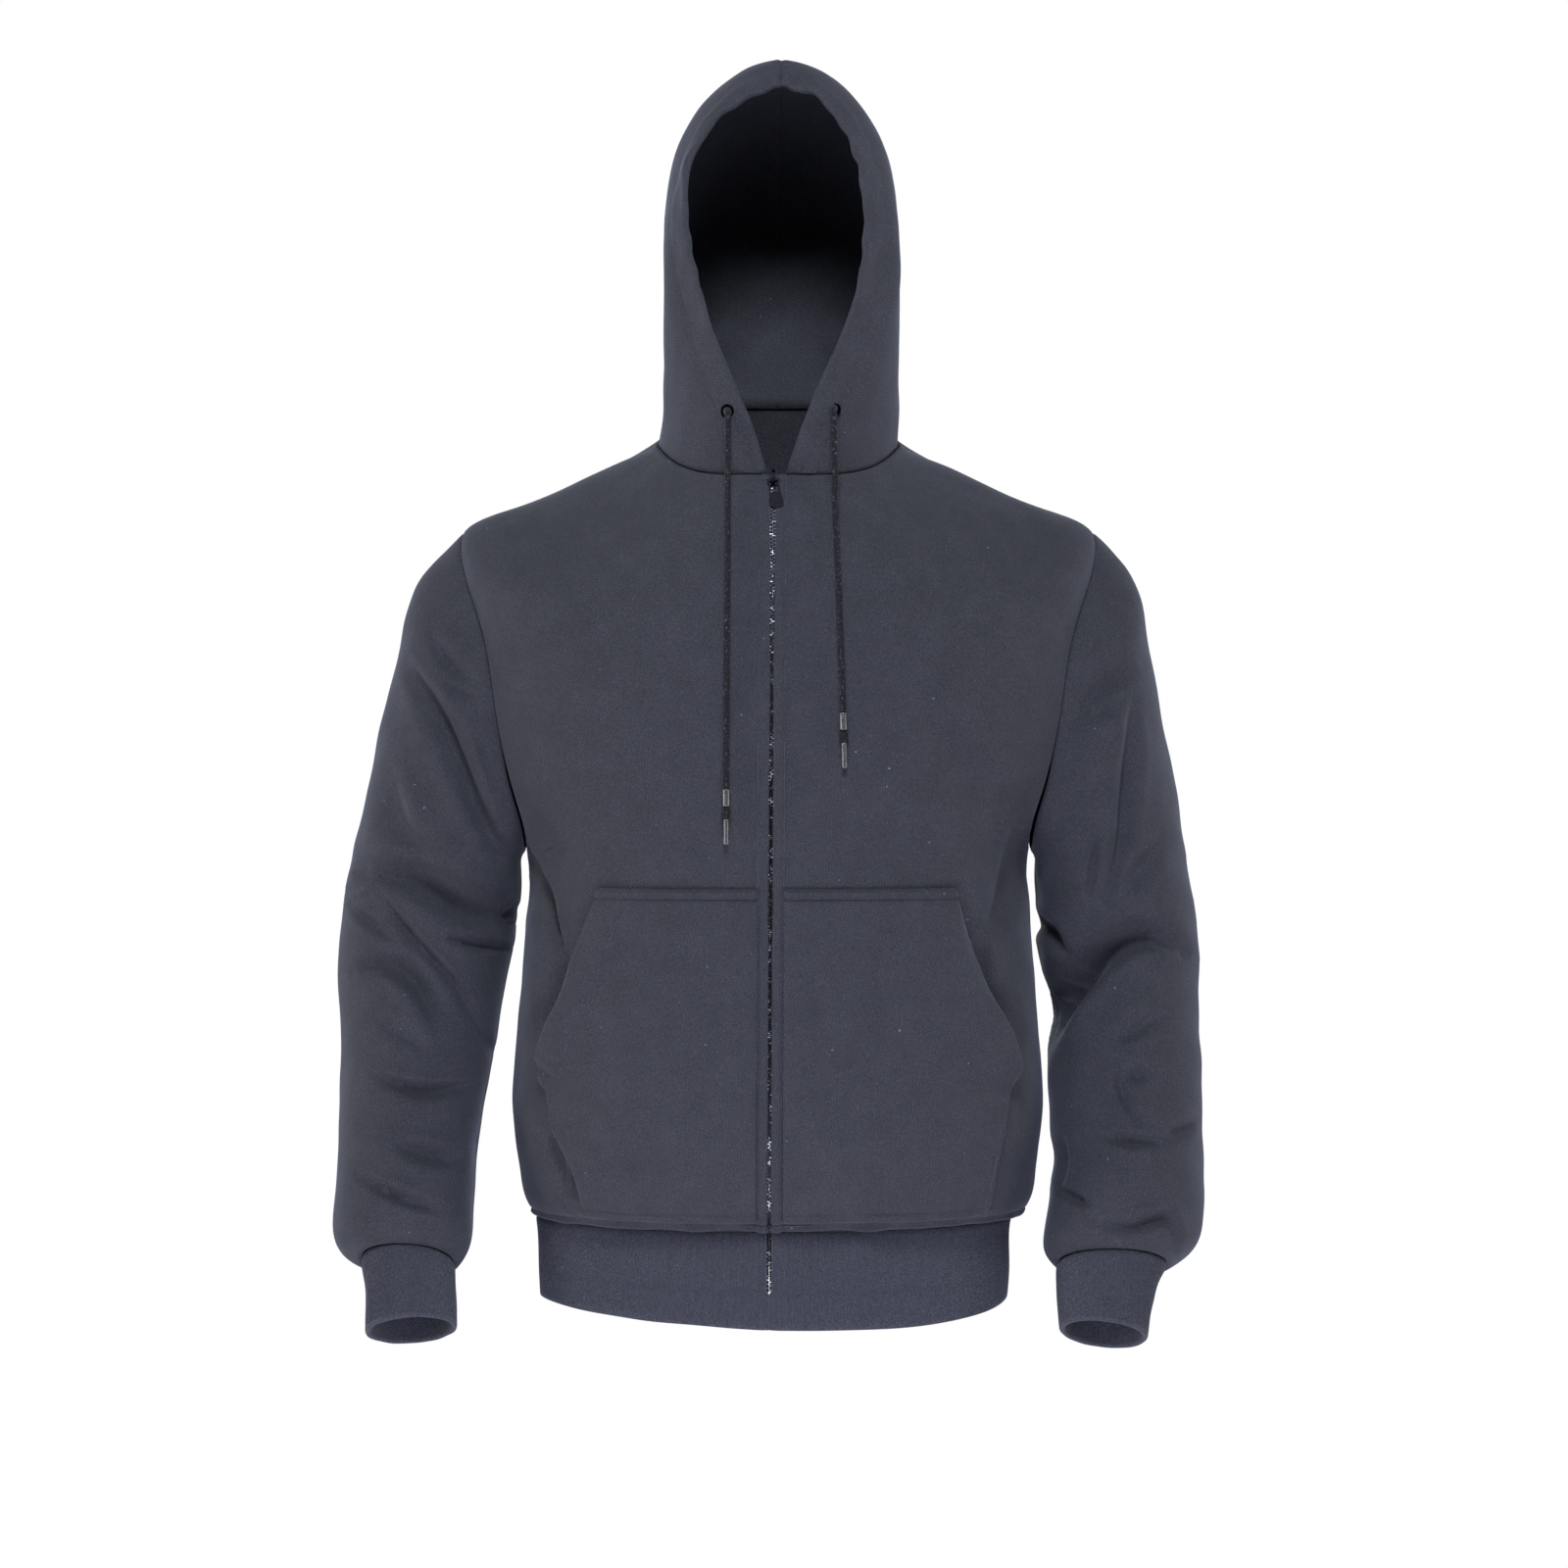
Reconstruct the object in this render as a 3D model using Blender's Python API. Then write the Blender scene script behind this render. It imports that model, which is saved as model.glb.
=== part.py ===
"""Zip-up hoodie in its worn form.

Every sewn piece is a thin closed wall. The body, the sleeves and the hood are read from a few
surfaces, each given by a short table of rings, so that pieces meet along shared seam lines.
The wearer's left is +X, the front faces -Y, and the origin lies at mid-neck, level with the
top of the shoulders.
"""
import math

import bmesh
import bpy
import numpy as np

for thing in list(bpy.data.objects):
    bpy.data.objects.remove(thing)

# ---- driving sizes, metres -------------------------------------------------------------------
CLOTH = 0.0025              # brushed fleece jersey, one layer
RIB_CLOTH = 0.004           # folded rib of the hem and the cuffs
CHANNEL_CLOTH = 0.005       # face edge of the hood, turned back round the cord
SEAM_GAP = 0.0003
ARMHOLE_GAP = 0.0005
ZIP_EDGE = 0.0029           # front edge from the middle of the zip
CHAIN_HALF = 0.0025
CHAIN_DEEP = 0.0032
TAPE_IN, TAPE_OUT = 0.0028, 0.013
TAPE_CLOTH = 0.0007
TAPE_BEHIND = 0.0034        # tape face behind the face of the fronts
SETTLE_OVER = 0.03          # stretch over which the tape comes back to the thicker hem band
POCKET_FROM_ZIP = 0.010
POCKET_ROOM = 0.012         # how far the pocket's open edge stands off the front at its fullest
CHAIN_BEHIND = 0.0003
CHAIN_BELOW_NECK = 0.0045   # the chain stops under the slider's post
SLIDER_HEIGHT = -0.0335     # height of the slider's middle
ZIP_LINE_PLACES, SLIDER_REACH = 200, 5      # places up the zip line, and those its tilt is read over
CORD = 0.0024               # drawcord radius

SIDES = {"left": 1, "right": -1}

# ---- torso rings -----------------------------------------------------------------------------
# distance up the panel | side: half width, y, z | centre front: y, z | centre back: y, z | fullness
RINGS = [
    (0.000, 0.186, -0.004, -0.592, -0.121, -0.5925, 0.109, -0.587, 2.25),
    (0.010, 0.193, -0.004, -0.582, -0.1300, -0.584, 0.116, -0.577, 2.25),
    (0.030, 0.198, -0.004, -0.561, -0.138, -0.563, 0.121, -0.556, 2.25),
    (0.080, 0.2040, -0.003, -0.511, -0.145, -0.511, 0.121, -0.508, 2.28),
    (0.140, 0.2005, -0.002, -0.450, -0.144, -0.450, 0.115, -0.448, 2.30),
    (0.210, 0.1955, 0.000, -0.380, -0.141, -0.380, 0.113, -0.378, 2.32),
    (0.278, 0.1940, 0.002, -0.312, -0.140, -0.312, 0.119, -0.312, 2.34),
    (0.340, 0.2140, 0.004, -0.262, -0.1415, -0.265, 0.123, -0.262, 2.34),
    (0.400, 0.2310, 0.007, -0.197, -0.141, -0.220, 0.124, -0.210, 2.32),
    (0.460, 0.2400, 0.010, -0.125, -0.137, -0.176, 0.121, -0.158, 2.30),
    (0.520, 0.2425, 0.012, -0.0655, -0.130, -0.135, 0.115, -0.108, 2.28),
    (0.560, 0.2060, 0.012, -0.0480, -0.1235, -0.109, 0.108, -0.072, 2.22),
    (0.600, 0.1690, 0.011, -0.0335, -0.1155, -0.083, 0.099, -0.036, 2.16),
    (0.640, 0.1310, 0.008, -0.0160, -0.1055, -0.058, 0.088, 0.001, 2.10),
    (0.680, 0.0925, 0.002, -0.0015, -0.0940, -0.030, 0.075, 0.037, 2.05),
]
HEM, ARMPIT, SHOULDER_TIP, NECK = 0.0, 0.278, 0.520, 0.680
ARMHOLE_FRONT, ARMHOLE_BACK = 23.0, 22.0      # degrees the armhole reaches round the body
ZIP_LEAN_HEM, ZIP_LEAN_RISE = -0.0065, 0.0045

# rows of the body panels: below the armpit, then one for each armhole step, then to the neck
LOW_ROWS = (HEM, 0.010, 0.030, 0.055, 0.085, 0.112, 0.140, 0.170, 0.210, 0.250, ARMPIT)
ARMHOLE_STEP = 20
SHOULDER_ROWS = (0.560, 0.600, 0.640, NECK)
FRONT_COLUMNS_IN_POCKET, FRONT_COLUMNS_TO_SIDE, BACK_COLUMNS = 5, 3, 13
LINE_SHARPNESS = 8          # how quickly the zip's lean dies out round the front
NUDGES = (0.5, 0.0005)      # degrees and metres, for normals of the body surface

# distance up the panel | angle of the pocket's outer edge
POCKET_EDGE = [(0.0, 52.0), (0.030, 52.3), (0.085, 54.5), (0.112, 56.5), (0.140, 53.5),
               (0.170, 49.3), (0.210, 44.1), (0.250, 39.0), (NECK, 39.0)]
POCKET_ROWS = (0.010, 0.030, 0.055, 0.085, 0.112, 0.140, 0.170, 0.210, 0.250)
POCKET_OPENS_AT = 0.105     # the edge is sewn down below this height
POCKET_SEWN_FROM = 0.55     # share of the width from which the sewn edge draws in
POCKET_FULL_UP, POCKET_FULL_ACROSS = 0.7, 1.3       # how blunt the room's rise is, up and across

# ---- sleeves: half as tables down the outer line ---------------------------------------------
# distance down | outer line: x, z | inner line: x, z | middle y, half depth
SLEEVES = {
    "left": [
        (0.000, 0.2425, -0.0655, 0.1940, -0.3120, 0.005, 0.061),
        (0.023, 0.2590, -0.0800, 0.1970, -0.3155, 0.006, 0.066),
        (0.050, 0.2745, -0.1030, 0.1990, -0.3200, 0.008, 0.070),
        (0.090, 0.2855, -0.1430, 0.1995, -0.3270, 0.011, 0.073),
        (0.150, 0.2965, -0.2020, 0.2000, -0.3410, 0.016, 0.075),
        (0.210, 0.3080, -0.2610, 0.2005, -0.3600, 0.021, 0.0745),
        (0.270, 0.3180, -0.3200, 0.2010, -0.3840, 0.025, 0.073),
        (0.330, 0.3260, -0.3790, 0.2060, -0.4140, 0.024, 0.070),
        (0.390, 0.3270, -0.4390, 0.2090, -0.4520, 0.014, 0.067),
        (0.450, 0.3260, -0.4970, 0.2090, -0.5000, -0.004, 0.063),
        (0.510, 0.3250, -0.5530, 0.2085, -0.5500, -0.028, 0.060),
        (0.550, 0.3220, -0.5920, 0.2040, -0.5880, -0.046, 0.057),
        (0.575, 0.3130, -0.6160, 0.2020, -0.6130, -0.056, 0.052),
        (0.592, 0.2940, -0.6265, 0.2105, -0.6240, -0.0605, 0.0445),
    ],
    "right": [
        (0.000, 0.2425, -0.0655, 0.1940, -0.3120, 0.005, 0.061),
        (0.023, 0.2570, -0.0800, 0.1970, -0.3155, 0.006, 0.066),
        (0.050, 0.2770, -0.1030, 0.1990, -0.3200, 0.008, 0.070),
        (0.090, 0.2900, -0.1430, 0.1995, -0.3270, 0.011, 0.073),
        (0.150, 0.3060, -0.2020, 0.2000, -0.3410, 0.016, 0.075),
        (0.210, 0.3180, -0.2610, 0.2015, -0.3600, 0.021, 0.0745),
        (0.270, 0.3330, -0.3200, 0.2050, -0.3840, 0.025, 0.073),
        (0.330, 0.3410, -0.3790, 0.2110, -0.4140, 0.024, 0.070),
        (0.390, 0.3400, -0.4390, 0.2180, -0.4520, 0.014, 0.067),
        (0.450, 0.3370, -0.4970, 0.2260, -0.5000, -0.004, 0.063),
        (0.510, 0.3370, -0.5530, 0.2310, -0.5500, -0.028, 0.060),
        (0.550, 0.3370, -0.5920, 0.2320, -0.5880, -0.046, 0.057),
        (0.575, 0.3310, -0.6140, 0.2350, -0.6130, -0.056, 0.052),
        (0.592, 0.3150, -0.6225, 0.2440, -0.6240, -0.0605, 0.0445),
    ],
}
CUFF_JOIN = 0.592
CAP_EASE = 0.12             # how far down the sleeve the armhole's oval dies out
SLEEVE_FULLNESS = 2.15
SLEEVE_NUDGES = (1.0, 0.001)
TILT_STEP, LEAST_DROP = 0.005, 0.002        # stretch that a section's tilt is read over
UNDER_ARM_FROM, UNDER_ARM_TO = 80, 130      # turn over which the cap gives way to the underarm
SLEEVE_ROWS = (0.0, 0.020, 0.045, 0.080, 0.120, 0.165, 0.210, 0.250, 0.285, 0.315, 0.345,
               0.375, 0.410, 0.450, 0.490, 0.530, 0.560, 0.578, CUFF_JOIN)

# distance down | outer line: x, z | inner line: x, z | middle y, half depth
CUFFS = {
    "left": [
        (0.000, 0.2930, -0.6268, 0.2108, -0.6243, -0.0605, 0.0440),
        (0.010, 0.2885, -0.6340, 0.2100, -0.6300, -0.0640, 0.0435),
        (0.035, 0.2820, -0.6540, 0.2100, -0.6470, -0.0715, 0.0400),
        (0.060, 0.2775, -0.6770, 0.2115, -0.6690, -0.0790, 0.0370),
    ],
    "right": [
        (0.000, 0.3140, -0.6228, 0.2443, -0.6243, -0.0605, 0.0440),
        (0.010, 0.3125, -0.6310, 0.2440, -0.6300, -0.0640, 0.0435),
        (0.035, 0.3105, -0.6520, 0.2425, -0.6450, -0.0715, 0.0400),
        (0.060, 0.3100, -0.6730, 0.2410, -0.6670, -0.0790, 0.0370),
    ],
}
CUFF_TILT = math.radians(24)
CUFF_ROWS = (0.0, 0.012, 0.035, 0.060)
CUFF_EASE = 0.025           # how far down the cuff the sleeve's ring dies out
AROUND = 360 // ARMHOLE_STEP

# ---- hem band --------------------------------------------------------------------------------
# share of the way down | half width, side z | centre front: y, z | centre back: y, z
HEM_BAND = [
    (0.00, 0.1835, -0.5923, -0.1207, -0.5928, 0.1078, -0.5873),
    (0.15, 0.1820, -0.6010, -0.1215, -0.6030, 0.1080, -0.5960),
    (0.60, 0.1812, -0.6300, -0.1210, -0.6370, 0.1080, -0.6250),
    (1.00, 0.1800, -0.6530, -0.1180, -0.6650, 0.1065, -0.6460),
]
HEM_FULLNESS = 2.25
HEM_MIDDLE = (-0.0035, -0.004)
HEM_LIFT = 0.012            # the wearer's right front corner rides up
HEM_ROWS = (0.0, 0.15, 0.38, 0.62, 0.70, 1.0)
CHAIN_ENDS_AT = 0.60        # below this share the two ends of the band meet
BAND_CLOSES_BY = 0.05       # share further down by which they have come together
HEM_NUDGES = (0.5, 0.01)
HEM_COLUMNS = 28

# ---- hood ------------------------------------------------------------------------------------
# arch | angle of its foot on the neck ring | four points up the side | top point
HOOD = [
    (0.10, 18, (0.0555, -0.0920, 0.034), (0.0800, -0.0840, 0.104), (0.0820, -0.0760, 0.168),
     (0.0610, -0.0640, 0.238), (0, -0.0500, 0.2830)),
    (0.25, 40, (0.0790, -0.0690, 0.040), (0.0885, -0.0600, 0.106), (0.0880, -0.0500, 0.174),
     (0.0670, -0.0360, 0.247), (0, -0.0180, 0.2945)),
    (0.40, 62, (0.0885, -0.0360, 0.046), (0.0898, -0.0270, 0.110), (0.0888, -0.0160, 0.178),
     (0.0668, -0.0020, 0.250), (0, 0.0220, 0.2975)),
    (0.55, 80, (0.0905, 0.0020, 0.046), (0.0898, 0.0140, 0.106), (0.0875, 0.0280, 0.172),
     (0.0645, 0.0450, 0.238), (0, 0.0720, 0.2805)),
    (0.70, 95, (0.0905, 0.0360, 0.042), (0.0880, 0.0550, 0.094), (0.0820, 0.0720, 0.150),
     (0.0575, 0.0950, 0.204), (0, 0.1130, 0.2380)),
    (0.82, 105, (0.0888, 0.0480, 0.046), (0.0832, 0.0700, 0.090), (0.0722, 0.0925, 0.133),
     (0.0462, 0.1150, 0.166), (0, 0.1275, 0.1800)),
    (0.92, 113, (0.0800, 0.0550, 0.044), (0.0718, 0.0765, 0.070), (0.0553, 0.0915, 0.092),
     (0.0310, 0.1030, 0.106), (0, 0.1100, 0.1110)),
]
FACE_EDGE = {
    "left": (0.00, 7, (0.0290, -0.1000, 0.033), (0.0560, -0.1005, 0.090), (0.0645, -0.0940, 0.150),
             (0.0530, -0.0810, 0.222), (0, -0.0660, 0.2660)),
    "right": (0.00, 8, (0.0345, -0.1000, 0.030), (0.0630, -0.1000, 0.098), (0.0745, -0.0925, 0.165),
              (0.0630, -0.0800, 0.222), (0, -0.0660, 0.2655)),
}
NECK_AT_BACK = (120, 132, 144, 156, 168, 180)
HOOD_MIDDLE = 0.0025
NECK_CENTRE = (0, -0.008, 0)
HOOD_ARCHES = (0.0, 0.09, 0.18, 0.27, 0.36, 0.46, 0.56, 0.66, 0.76, 0.85, 0.93, 1.0)
HOOD_STEPS = 11
CHANNEL_ARCHES = 2          # the first arches carry the turned-back channel
HOOD_NUDGE = 0.003
HOOD_FOOT = 0.15            # share of the hood's height over which it comes back onto the neck seam

# ---- largest folds ---------------------------------------------------------------------------
FOLD_STEPS = 13             # places along a fold that its distance is measured from
FOLD_TAPER = 0.6            # how blunt a fold's two ends are
FOLD_ENDS = (0.04, 0.96)    # shares along a fold that its ends count as, so none dies out fully
# piece | facing | three points across and up, seen from the front | half width, depth
FOLDS = [
    ("sleeve_right", -1, (-0.316, -0.330), (-0.285, -0.362), (-0.222, -0.372), 0.022, 0.0080),
    ("sleeve_right", -1, (-0.280, -0.210), (-0.250, -0.290), (-0.214, -0.345), 0.020, 0.0060),
    ("sleeve_right", -1, (-0.300, -0.400), (-0.270, -0.405), (-0.240, -0.440), 0.018, 0.0050),
    ("sleeve_right", 1, (-0.320, -0.330), (-0.280, -0.400), (-0.225, -0.420), 0.024, 0.0060),
    ("sleeve_left", -1, (0.300, -0.385), (0.250, -0.392), (0.205, -0.450), 0.022, 0.0075),
    ("sleeve_left", -1, (0.270, -0.300), (0.255, -0.340), (0.245, -0.375), 0.020, 0.0050),
    ("sleeve_left", -1, (0.205, -0.230), (0.240, -0.190), (0.275, -0.165), 0.018, 0.0050),
    ("sleeve_left", 1, (0.310, -0.340), (0.270, -0.400), (0.215, -0.420), 0.024, 0.0060),
    ("front_right", -1, (-0.180, -0.310), (-0.168, -0.345), (-0.158, -0.395), 0.018, 0.0050),
    ("front_left", -1, (0.182, -0.290), (0.170, -0.335), (0.158, -0.385), 0.018, 0.0060),
    ("back", 1, (-0.130, -0.330), (0.000, -0.375), (0.120, -0.335), 0.025, 0.0050),
]

# ---- cord, seen as one long line on each side ------------------------------------------------
EYELET_ACROSS = {"left": 0.70, "right": 0.65}      # share of the channel's width
EYELET_DOWN = 0.48                                  # share of the cell's height
EYELET_RADIUS, EYELET_BORE, EYELET_THICK = 0.0056, 0.0034, 0.0009
EYELET_OFF, EYELET_CHAMFER = 0.0005, 0.0006
CORD_STEP = 0.012
CORD_START = (0.0, 0.0025, 0.0055)                  # closer points where it bends out of the eyelet
# places down each cord, from its eyelet to the metal sleeve near its end
CORD_ROUTE = {
    "left": [(0.0417, -0.0958, 0.0172), (0.0417, -0.0988, 0.0165), (0.0418, -0.0997, 0.0135),
             (0.0430, -0.1052, -0.0600), (0.0440, -0.1190, -0.0900), (0.0450, -0.1286, -0.1200),
             (0.0462, -0.1372, -0.1600), (0.0475, -0.1418, -0.1950), (0.0478, -0.1425, -0.2087)],
    "right": [(-0.0373, -0.0966, 0.0158), (-0.0373, -0.0993, 0.0152), (-0.0373, -0.1000, 0.0122),
              (-0.0374, -0.1080, -0.0600), (-0.0372, -0.1207, -0.0900), (-0.0372, -0.1296, -0.1200),
              (-0.0374, -0.1380, -0.1600), (-0.0376, -0.1426, -0.2000), (-0.0378, -0.1446, -0.2400),
              (-0.0379, -0.1450, -0.2647)],
}
CORD_END = {
    "left": ((0.0478, -0.1425, -0.2090), (0.0490, -0.1432, -0.2499)),
    "right": ((-0.0379, -0.1450, -0.2650), (-0.0379, -0.1448, -0.3059)),
}
# fitting | radius | share of the cord's end that it takes | edge rounding, share of the radius
CORD_FITTINGS = [("sleeve", 0.0028, 0.32, 0.15), ("knot", 0.0038, 0.22, 0.45),
                 ("aglet", 0.0020, 0.46, 0.15)]

# ---- pull tab, in the slider's own frame: off the cloth, up the zip ----------------------------
TAB_PIVOT = (0.00325, -0.0027)
TAB_THICK = 0.0013
TAB_LEAN = 6.0
TAB_ASKEW = 8.0


# ---- surfaces --------------------------------------------------------------------------------
def through(knots, values, at):
    """Natural cubic curve through rows of values, read at any places along the knots."""
    knots, values, at = (np.asarray(part, float) for part in (knots, values, at))
    step = np.diff(knots)
    count = len(knots)
    system = np.zeros((count, count))
    load = np.zeros_like(values)
    system[0, 0] = system[-1, -1] = 1.0
    for i in range(1, count - 1):
        system[i, i - 1:i + 2] = step[i - 1], 2 * (step[i - 1] + step[i]), step[i]
        slopes = np.diff(values[i - 1:i + 2], axis=0)
        load[i] = 6 * (slopes[1] / step[i] - slopes[0] / step[i - 1])
    bend = np.linalg.solve(system, load)
    cell = np.clip(np.searchsorted(knots, at) - 1, 0, count - 2)
    width = step[cell][..., None]
    low = (knots[cell + 1] - at)[..., None] / width
    high = (at - knots[cell])[..., None] / width
    curve = (low**3 - low) * bend[cell] + (high**3 - high) * bend[cell + 1]
    return low * values[cell] + high * values[cell + 1] + curve * width**2 / 6


def columns_of(table, at):
    table = np.array(table, float)
    return np.moveaxis(through(table[:, 0], table[:, 1:], at), -1, 0)


def smooth(t):
    t = np.clip(t, 0, 1)
    return t * t * (3 - 2 * t)


def power_cos_sin(angle, fullness):
    c, s = np.cos(np.radians(angle)), np.sin(np.radians(angle))
    share = 2 / fullness
    return c, np.sign(c) * np.abs(c) ** share, np.sign(s) * np.abs(s) ** share


def torso(angle, up):
    """Body surface: angle 0 at the centre front, 90 at the wearer's left side, 180 at the back."""
    angle, up = np.broadcast_arrays(np.asarray(angle, float), np.asarray(up, float))
    half, side_y, side_z, front_y, front_z, back_y, back_z, fullness = columns_of(RINGS, up)
    c, reach, across = power_cos_sin(angle, fullness)
    lift = c * c * (3 - 2 * np.abs(c))
    lean = np.where(c > 0, ZIP_LEAN_HEM + ZIP_LEAN_RISE * up, 0) * c**LINE_SHARPNESS
    x = half * across + lean
    y = side_y + (np.where(c > 0, front_y, back_y) - side_y) * np.abs(reach)
    z = side_z + (np.where(c > 0, front_z, back_z) - side_z) * lift
    return np.stack([x, y, z], -1)


def angle_at(distance, up):
    """Angle of the front surface at this distance from the zip line."""
    half, fullness = columns_of(RINGS, up)[[0, 7]]
    return np.degrees(np.arcsin((distance / half) ** (fullness / 2)))


def armhole(turn):
    """Angle and height on the body of the armhole: turn 0 at the shoulder tip, 180 at the armpit."""
    s, c = np.sin(np.radians(turn)), np.cos(np.radians(turn))
    reach = np.where(s > 0, ARMHOLE_FRONT, ARMHOLE_BACK) * s
    return 90 - reach, ARMPIT + (SHOULDER_TIP - ARMPIT) * (1 + c) / 2


def side_limit(up, front):
    """Angle from the side seam that the armhole takes away from a body panel at this height."""
    level = np.clip((2 * up - ARMPIT - SHOULDER_TIP) / (SHOULDER_TIP - ARMPIT), -1, 1)
    return (ARMHOLE_FRONT if front else ARMHOLE_BACK) * np.sqrt(1 - level**2)


def sleeve_section(side, turn, down):
    table = SLEEVES[side]
    outer_x, outer_z, inner_x, inner_z, mid_y, depth = columns_of(table, down)
    later = columns_of(table, down + TILT_STEP)
    drop = (outer_z + inner_z - later[1] - later[3]) / 2
    tilt = np.arctan2(mid_y - later[4], np.maximum(drop, LEAST_DROP))
    _, c, s = power_cos_sin(turn, SLEEVE_FULLNESS)
    x = (outer_x + inner_x) / 2 + (outer_x - inner_x) / 2 * c
    y = mid_y - depth * s * np.cos(tilt)
    z = (outer_z + inner_z) / 2 + (outer_z - inner_z) / 2 * c + depth * s * np.sin(tilt)
    return np.stack([x, y, z], -1)


def sleeve(side, turn, down):
    """Sleeve on the left of the body: turn 0 on the outer line, 90 in front, 180 under the arm."""
    turn, down = np.broadcast_arrays(np.asarray(turn, float), np.asarray(down, float))
    start = torso(*armhole(turn)) - sleeve_section(side, turn, np.zeros_like(down))
    return sleeve_section(side, turn, down) + start * smooth(1 - down / CAP_EASE)[..., None]


def cuff_section(side, turn, down):
    outer_x, outer_z, inner_x, inner_z, mid_y, depth = columns_of(CUFFS[side], down)
    c, s = np.cos(np.radians(turn)), np.sin(np.radians(turn))
    x = (outer_x + inner_x) / 2 + (outer_x - inner_x) / 2 * c
    y = mid_y - depth * s * math.cos(CUFF_TILT)
    z = (outer_z + inner_z) / 2 + (outer_z - inner_z) / 2 * c + depth * s * math.sin(CUFF_TILT)
    return np.stack([x, y, z], -1)


def cuff(side, turn, down):
    """Cuff on the left of the body, its top on the sleeve's lower edge."""
    turn, down = np.broadcast_arrays(np.asarray(turn, float), np.asarray(down, float))
    top = np.zeros_like(down)
    start = sleeve(side, turn, top + CUFF_JOIN) - cuff_section(side, turn, top)
    return cuff_section(side, turn, down) + start * smooth(1 - down / CUFF_EASE)[..., None]


def hem_band(angle, down):
    angle, down = np.broadcast_arrays(np.asarray(angle, float), np.asarray(down, float))
    half, side_z, front_y, front_z, back_y, back_z = columns_of(HEM_BAND, down)
    c, reach, across = power_cos_sin(angle, HEM_FULLNESS)
    lean = (ZIP_LEAN_HEM - HEM_MIDDLE[0]) * np.where(c > 0, c**LINE_SHARPNESS, 0)
    x = HEM_MIDDLE[0] + half * across + lean
    y = HEM_MIDDLE[1] + (np.where(c > 0, front_y, back_y) - HEM_MIDDLE[1]) * np.abs(reach)
    lift = c * c * (3 - 2 * np.abs(c))
    ride = HEM_LIFT * down * np.clip(-across * reach, 0, 1)
    z = side_z + (np.where(c > 0, front_z, back_z) - side_z) * lift + ride
    return np.stack([x, y, z], -1)


def hood(side, arch, step):
    """Half of the hood: arch 0 on the face edge to 1 on the back of the neck, step 0 to 1 upward."""
    arch, step = np.broadcast_arrays(np.asarray(arch, float), np.asarray(step, float))
    table = [FACE_EDGE[side]] + HOOD
    marks = [row[0] for row in table] + [1.0]
    net = [[torso(row[1], NECK), *(np.array(point) for point in row[2:])] for row in table]
    net.append([torso(angle, NECK) for angle in NECK_AT_BACK])
    net = np.array(net)
    net = np.concatenate([net, net[:, -2:-4:-1] * (-1, 1, 1)], axis=1)   # runs on past the seam
    steps = np.arange(net.shape[1]) / (len(NECK_AT_BACK) - 1)
    rows = through(marks, net.reshape(len(marks), -1), arch.ravel()).reshape(-1, len(steps), 3)
    points = [through(steps, row, [at])[0] for row, at in zip(rows, step.ravel())]
    return np.array(points).reshape(*arch.shape, 3)


def outward(surface, across, along, nudge):
    """Unit normals of a surface by small steps both ways."""
    first = surface(across + nudge[0], along) - surface(across - nudge[0], along)
    second = surface(across, along + nudge[1]) - surface(across, along - nudge[1])
    normal = np.cross(first, second)
    return normal / np.linalg.norm(normal, axis=-1, keepdims=True)


# ---- folds -----------------------------------------------------------------------------------
def sunk(piece, points, normals):
    """The piece's points with its largest folds pressed in along the normals."""
    depth = np.zeros(points.shape[:-1])
    along = np.linspace(0, 1, FOLD_STEPS)
    for name, facing, start, middle, end, half, deep in FOLDS:
        if name != piece:
            continue
        start, middle, end = (np.array(place) for place in (start, middle, end))
        control = 2 * middle - (start + end) / 2
        low, high = (1 - along)[:, None], along[:, None]
        line = low**2 * start + 2 * low * high * control + high**2 * end
        flat = points[..., None, [0, 2]] - line
        distance = np.linalg.norm(flat, axis=-1)
        nearest = distance.argmin(-1)
        taper = np.sin(np.pi * np.clip(along[nearest], *FOLD_ENDS)) ** FOLD_TAPER
        shown = smooth(0.5 + facing * normals[..., 1])
        depth += deep * taper * shown * np.exp(-(distance.min(-1) / half) ** 2)
    return points - normals * depth[..., None]


# ---- making objects --------------------------------------------------------------------------
def paint(name, colour, metallic, roughness):
    made = bpy.data.materials.new(name)
    made.use_nodes = True
    shader = made.node_tree.nodes["Principled BSDF"]
    shader.inputs["Base Color"].default_value = (*colour, 1)
    shader.inputs["Metallic"].default_value = metallic
    shader.inputs["Roughness"].default_value = roughness
    return made


def solid(name, points, faces, material):
    mesh = bpy.data.meshes.new(name)
    mesh.from_pydata([tuple(point) for point in points], [], faces)
    shape = bmesh.new()
    shape.from_mesh(mesh)
    bmesh.ops.recalc_face_normals(shape, faces=shape.faces)
    shape.to_mesh(mesh)
    shape.free()
    mesh.materials.append(material)
    mesh.shade_smooth()
    mesh.set_sharp_from_angle(angle=math.radians(50))
    made = bpy.data.objects.new(name, mesh)
    bpy.context.scene.collection.objects.link(made)
    return made


def drawn_back(points, ring, gap):
    """How far each edge point is drawn back into its piece, to leave half of a seam gap."""
    shift = np.zeros_like(points)
    ends = [(np.s_[0, :], np.s_[1, :]), (np.s_[-1, :], np.s_[-2, :])]
    if not ring:
        ends += [(np.s_[:, 0], np.s_[:, 1]), (np.s_[:, -1], np.s_[:, -2])]
    for edge, inside in ends:
        line = points[edge]
        run = np.roll(line, -1, 0) - np.roll(line, 1, 0) if ring else np.gradient(line, axis=0)
        run /= np.linalg.norm(run, axis=-1, keepdims=True)
        way = points[inside] - line
        way -= run * (way * run).sum(-1, keepdims=True)
        shift[edge] += way / np.linalg.norm(way, axis=-1, keepdims=True) * gap / 2
    return shift


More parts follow.
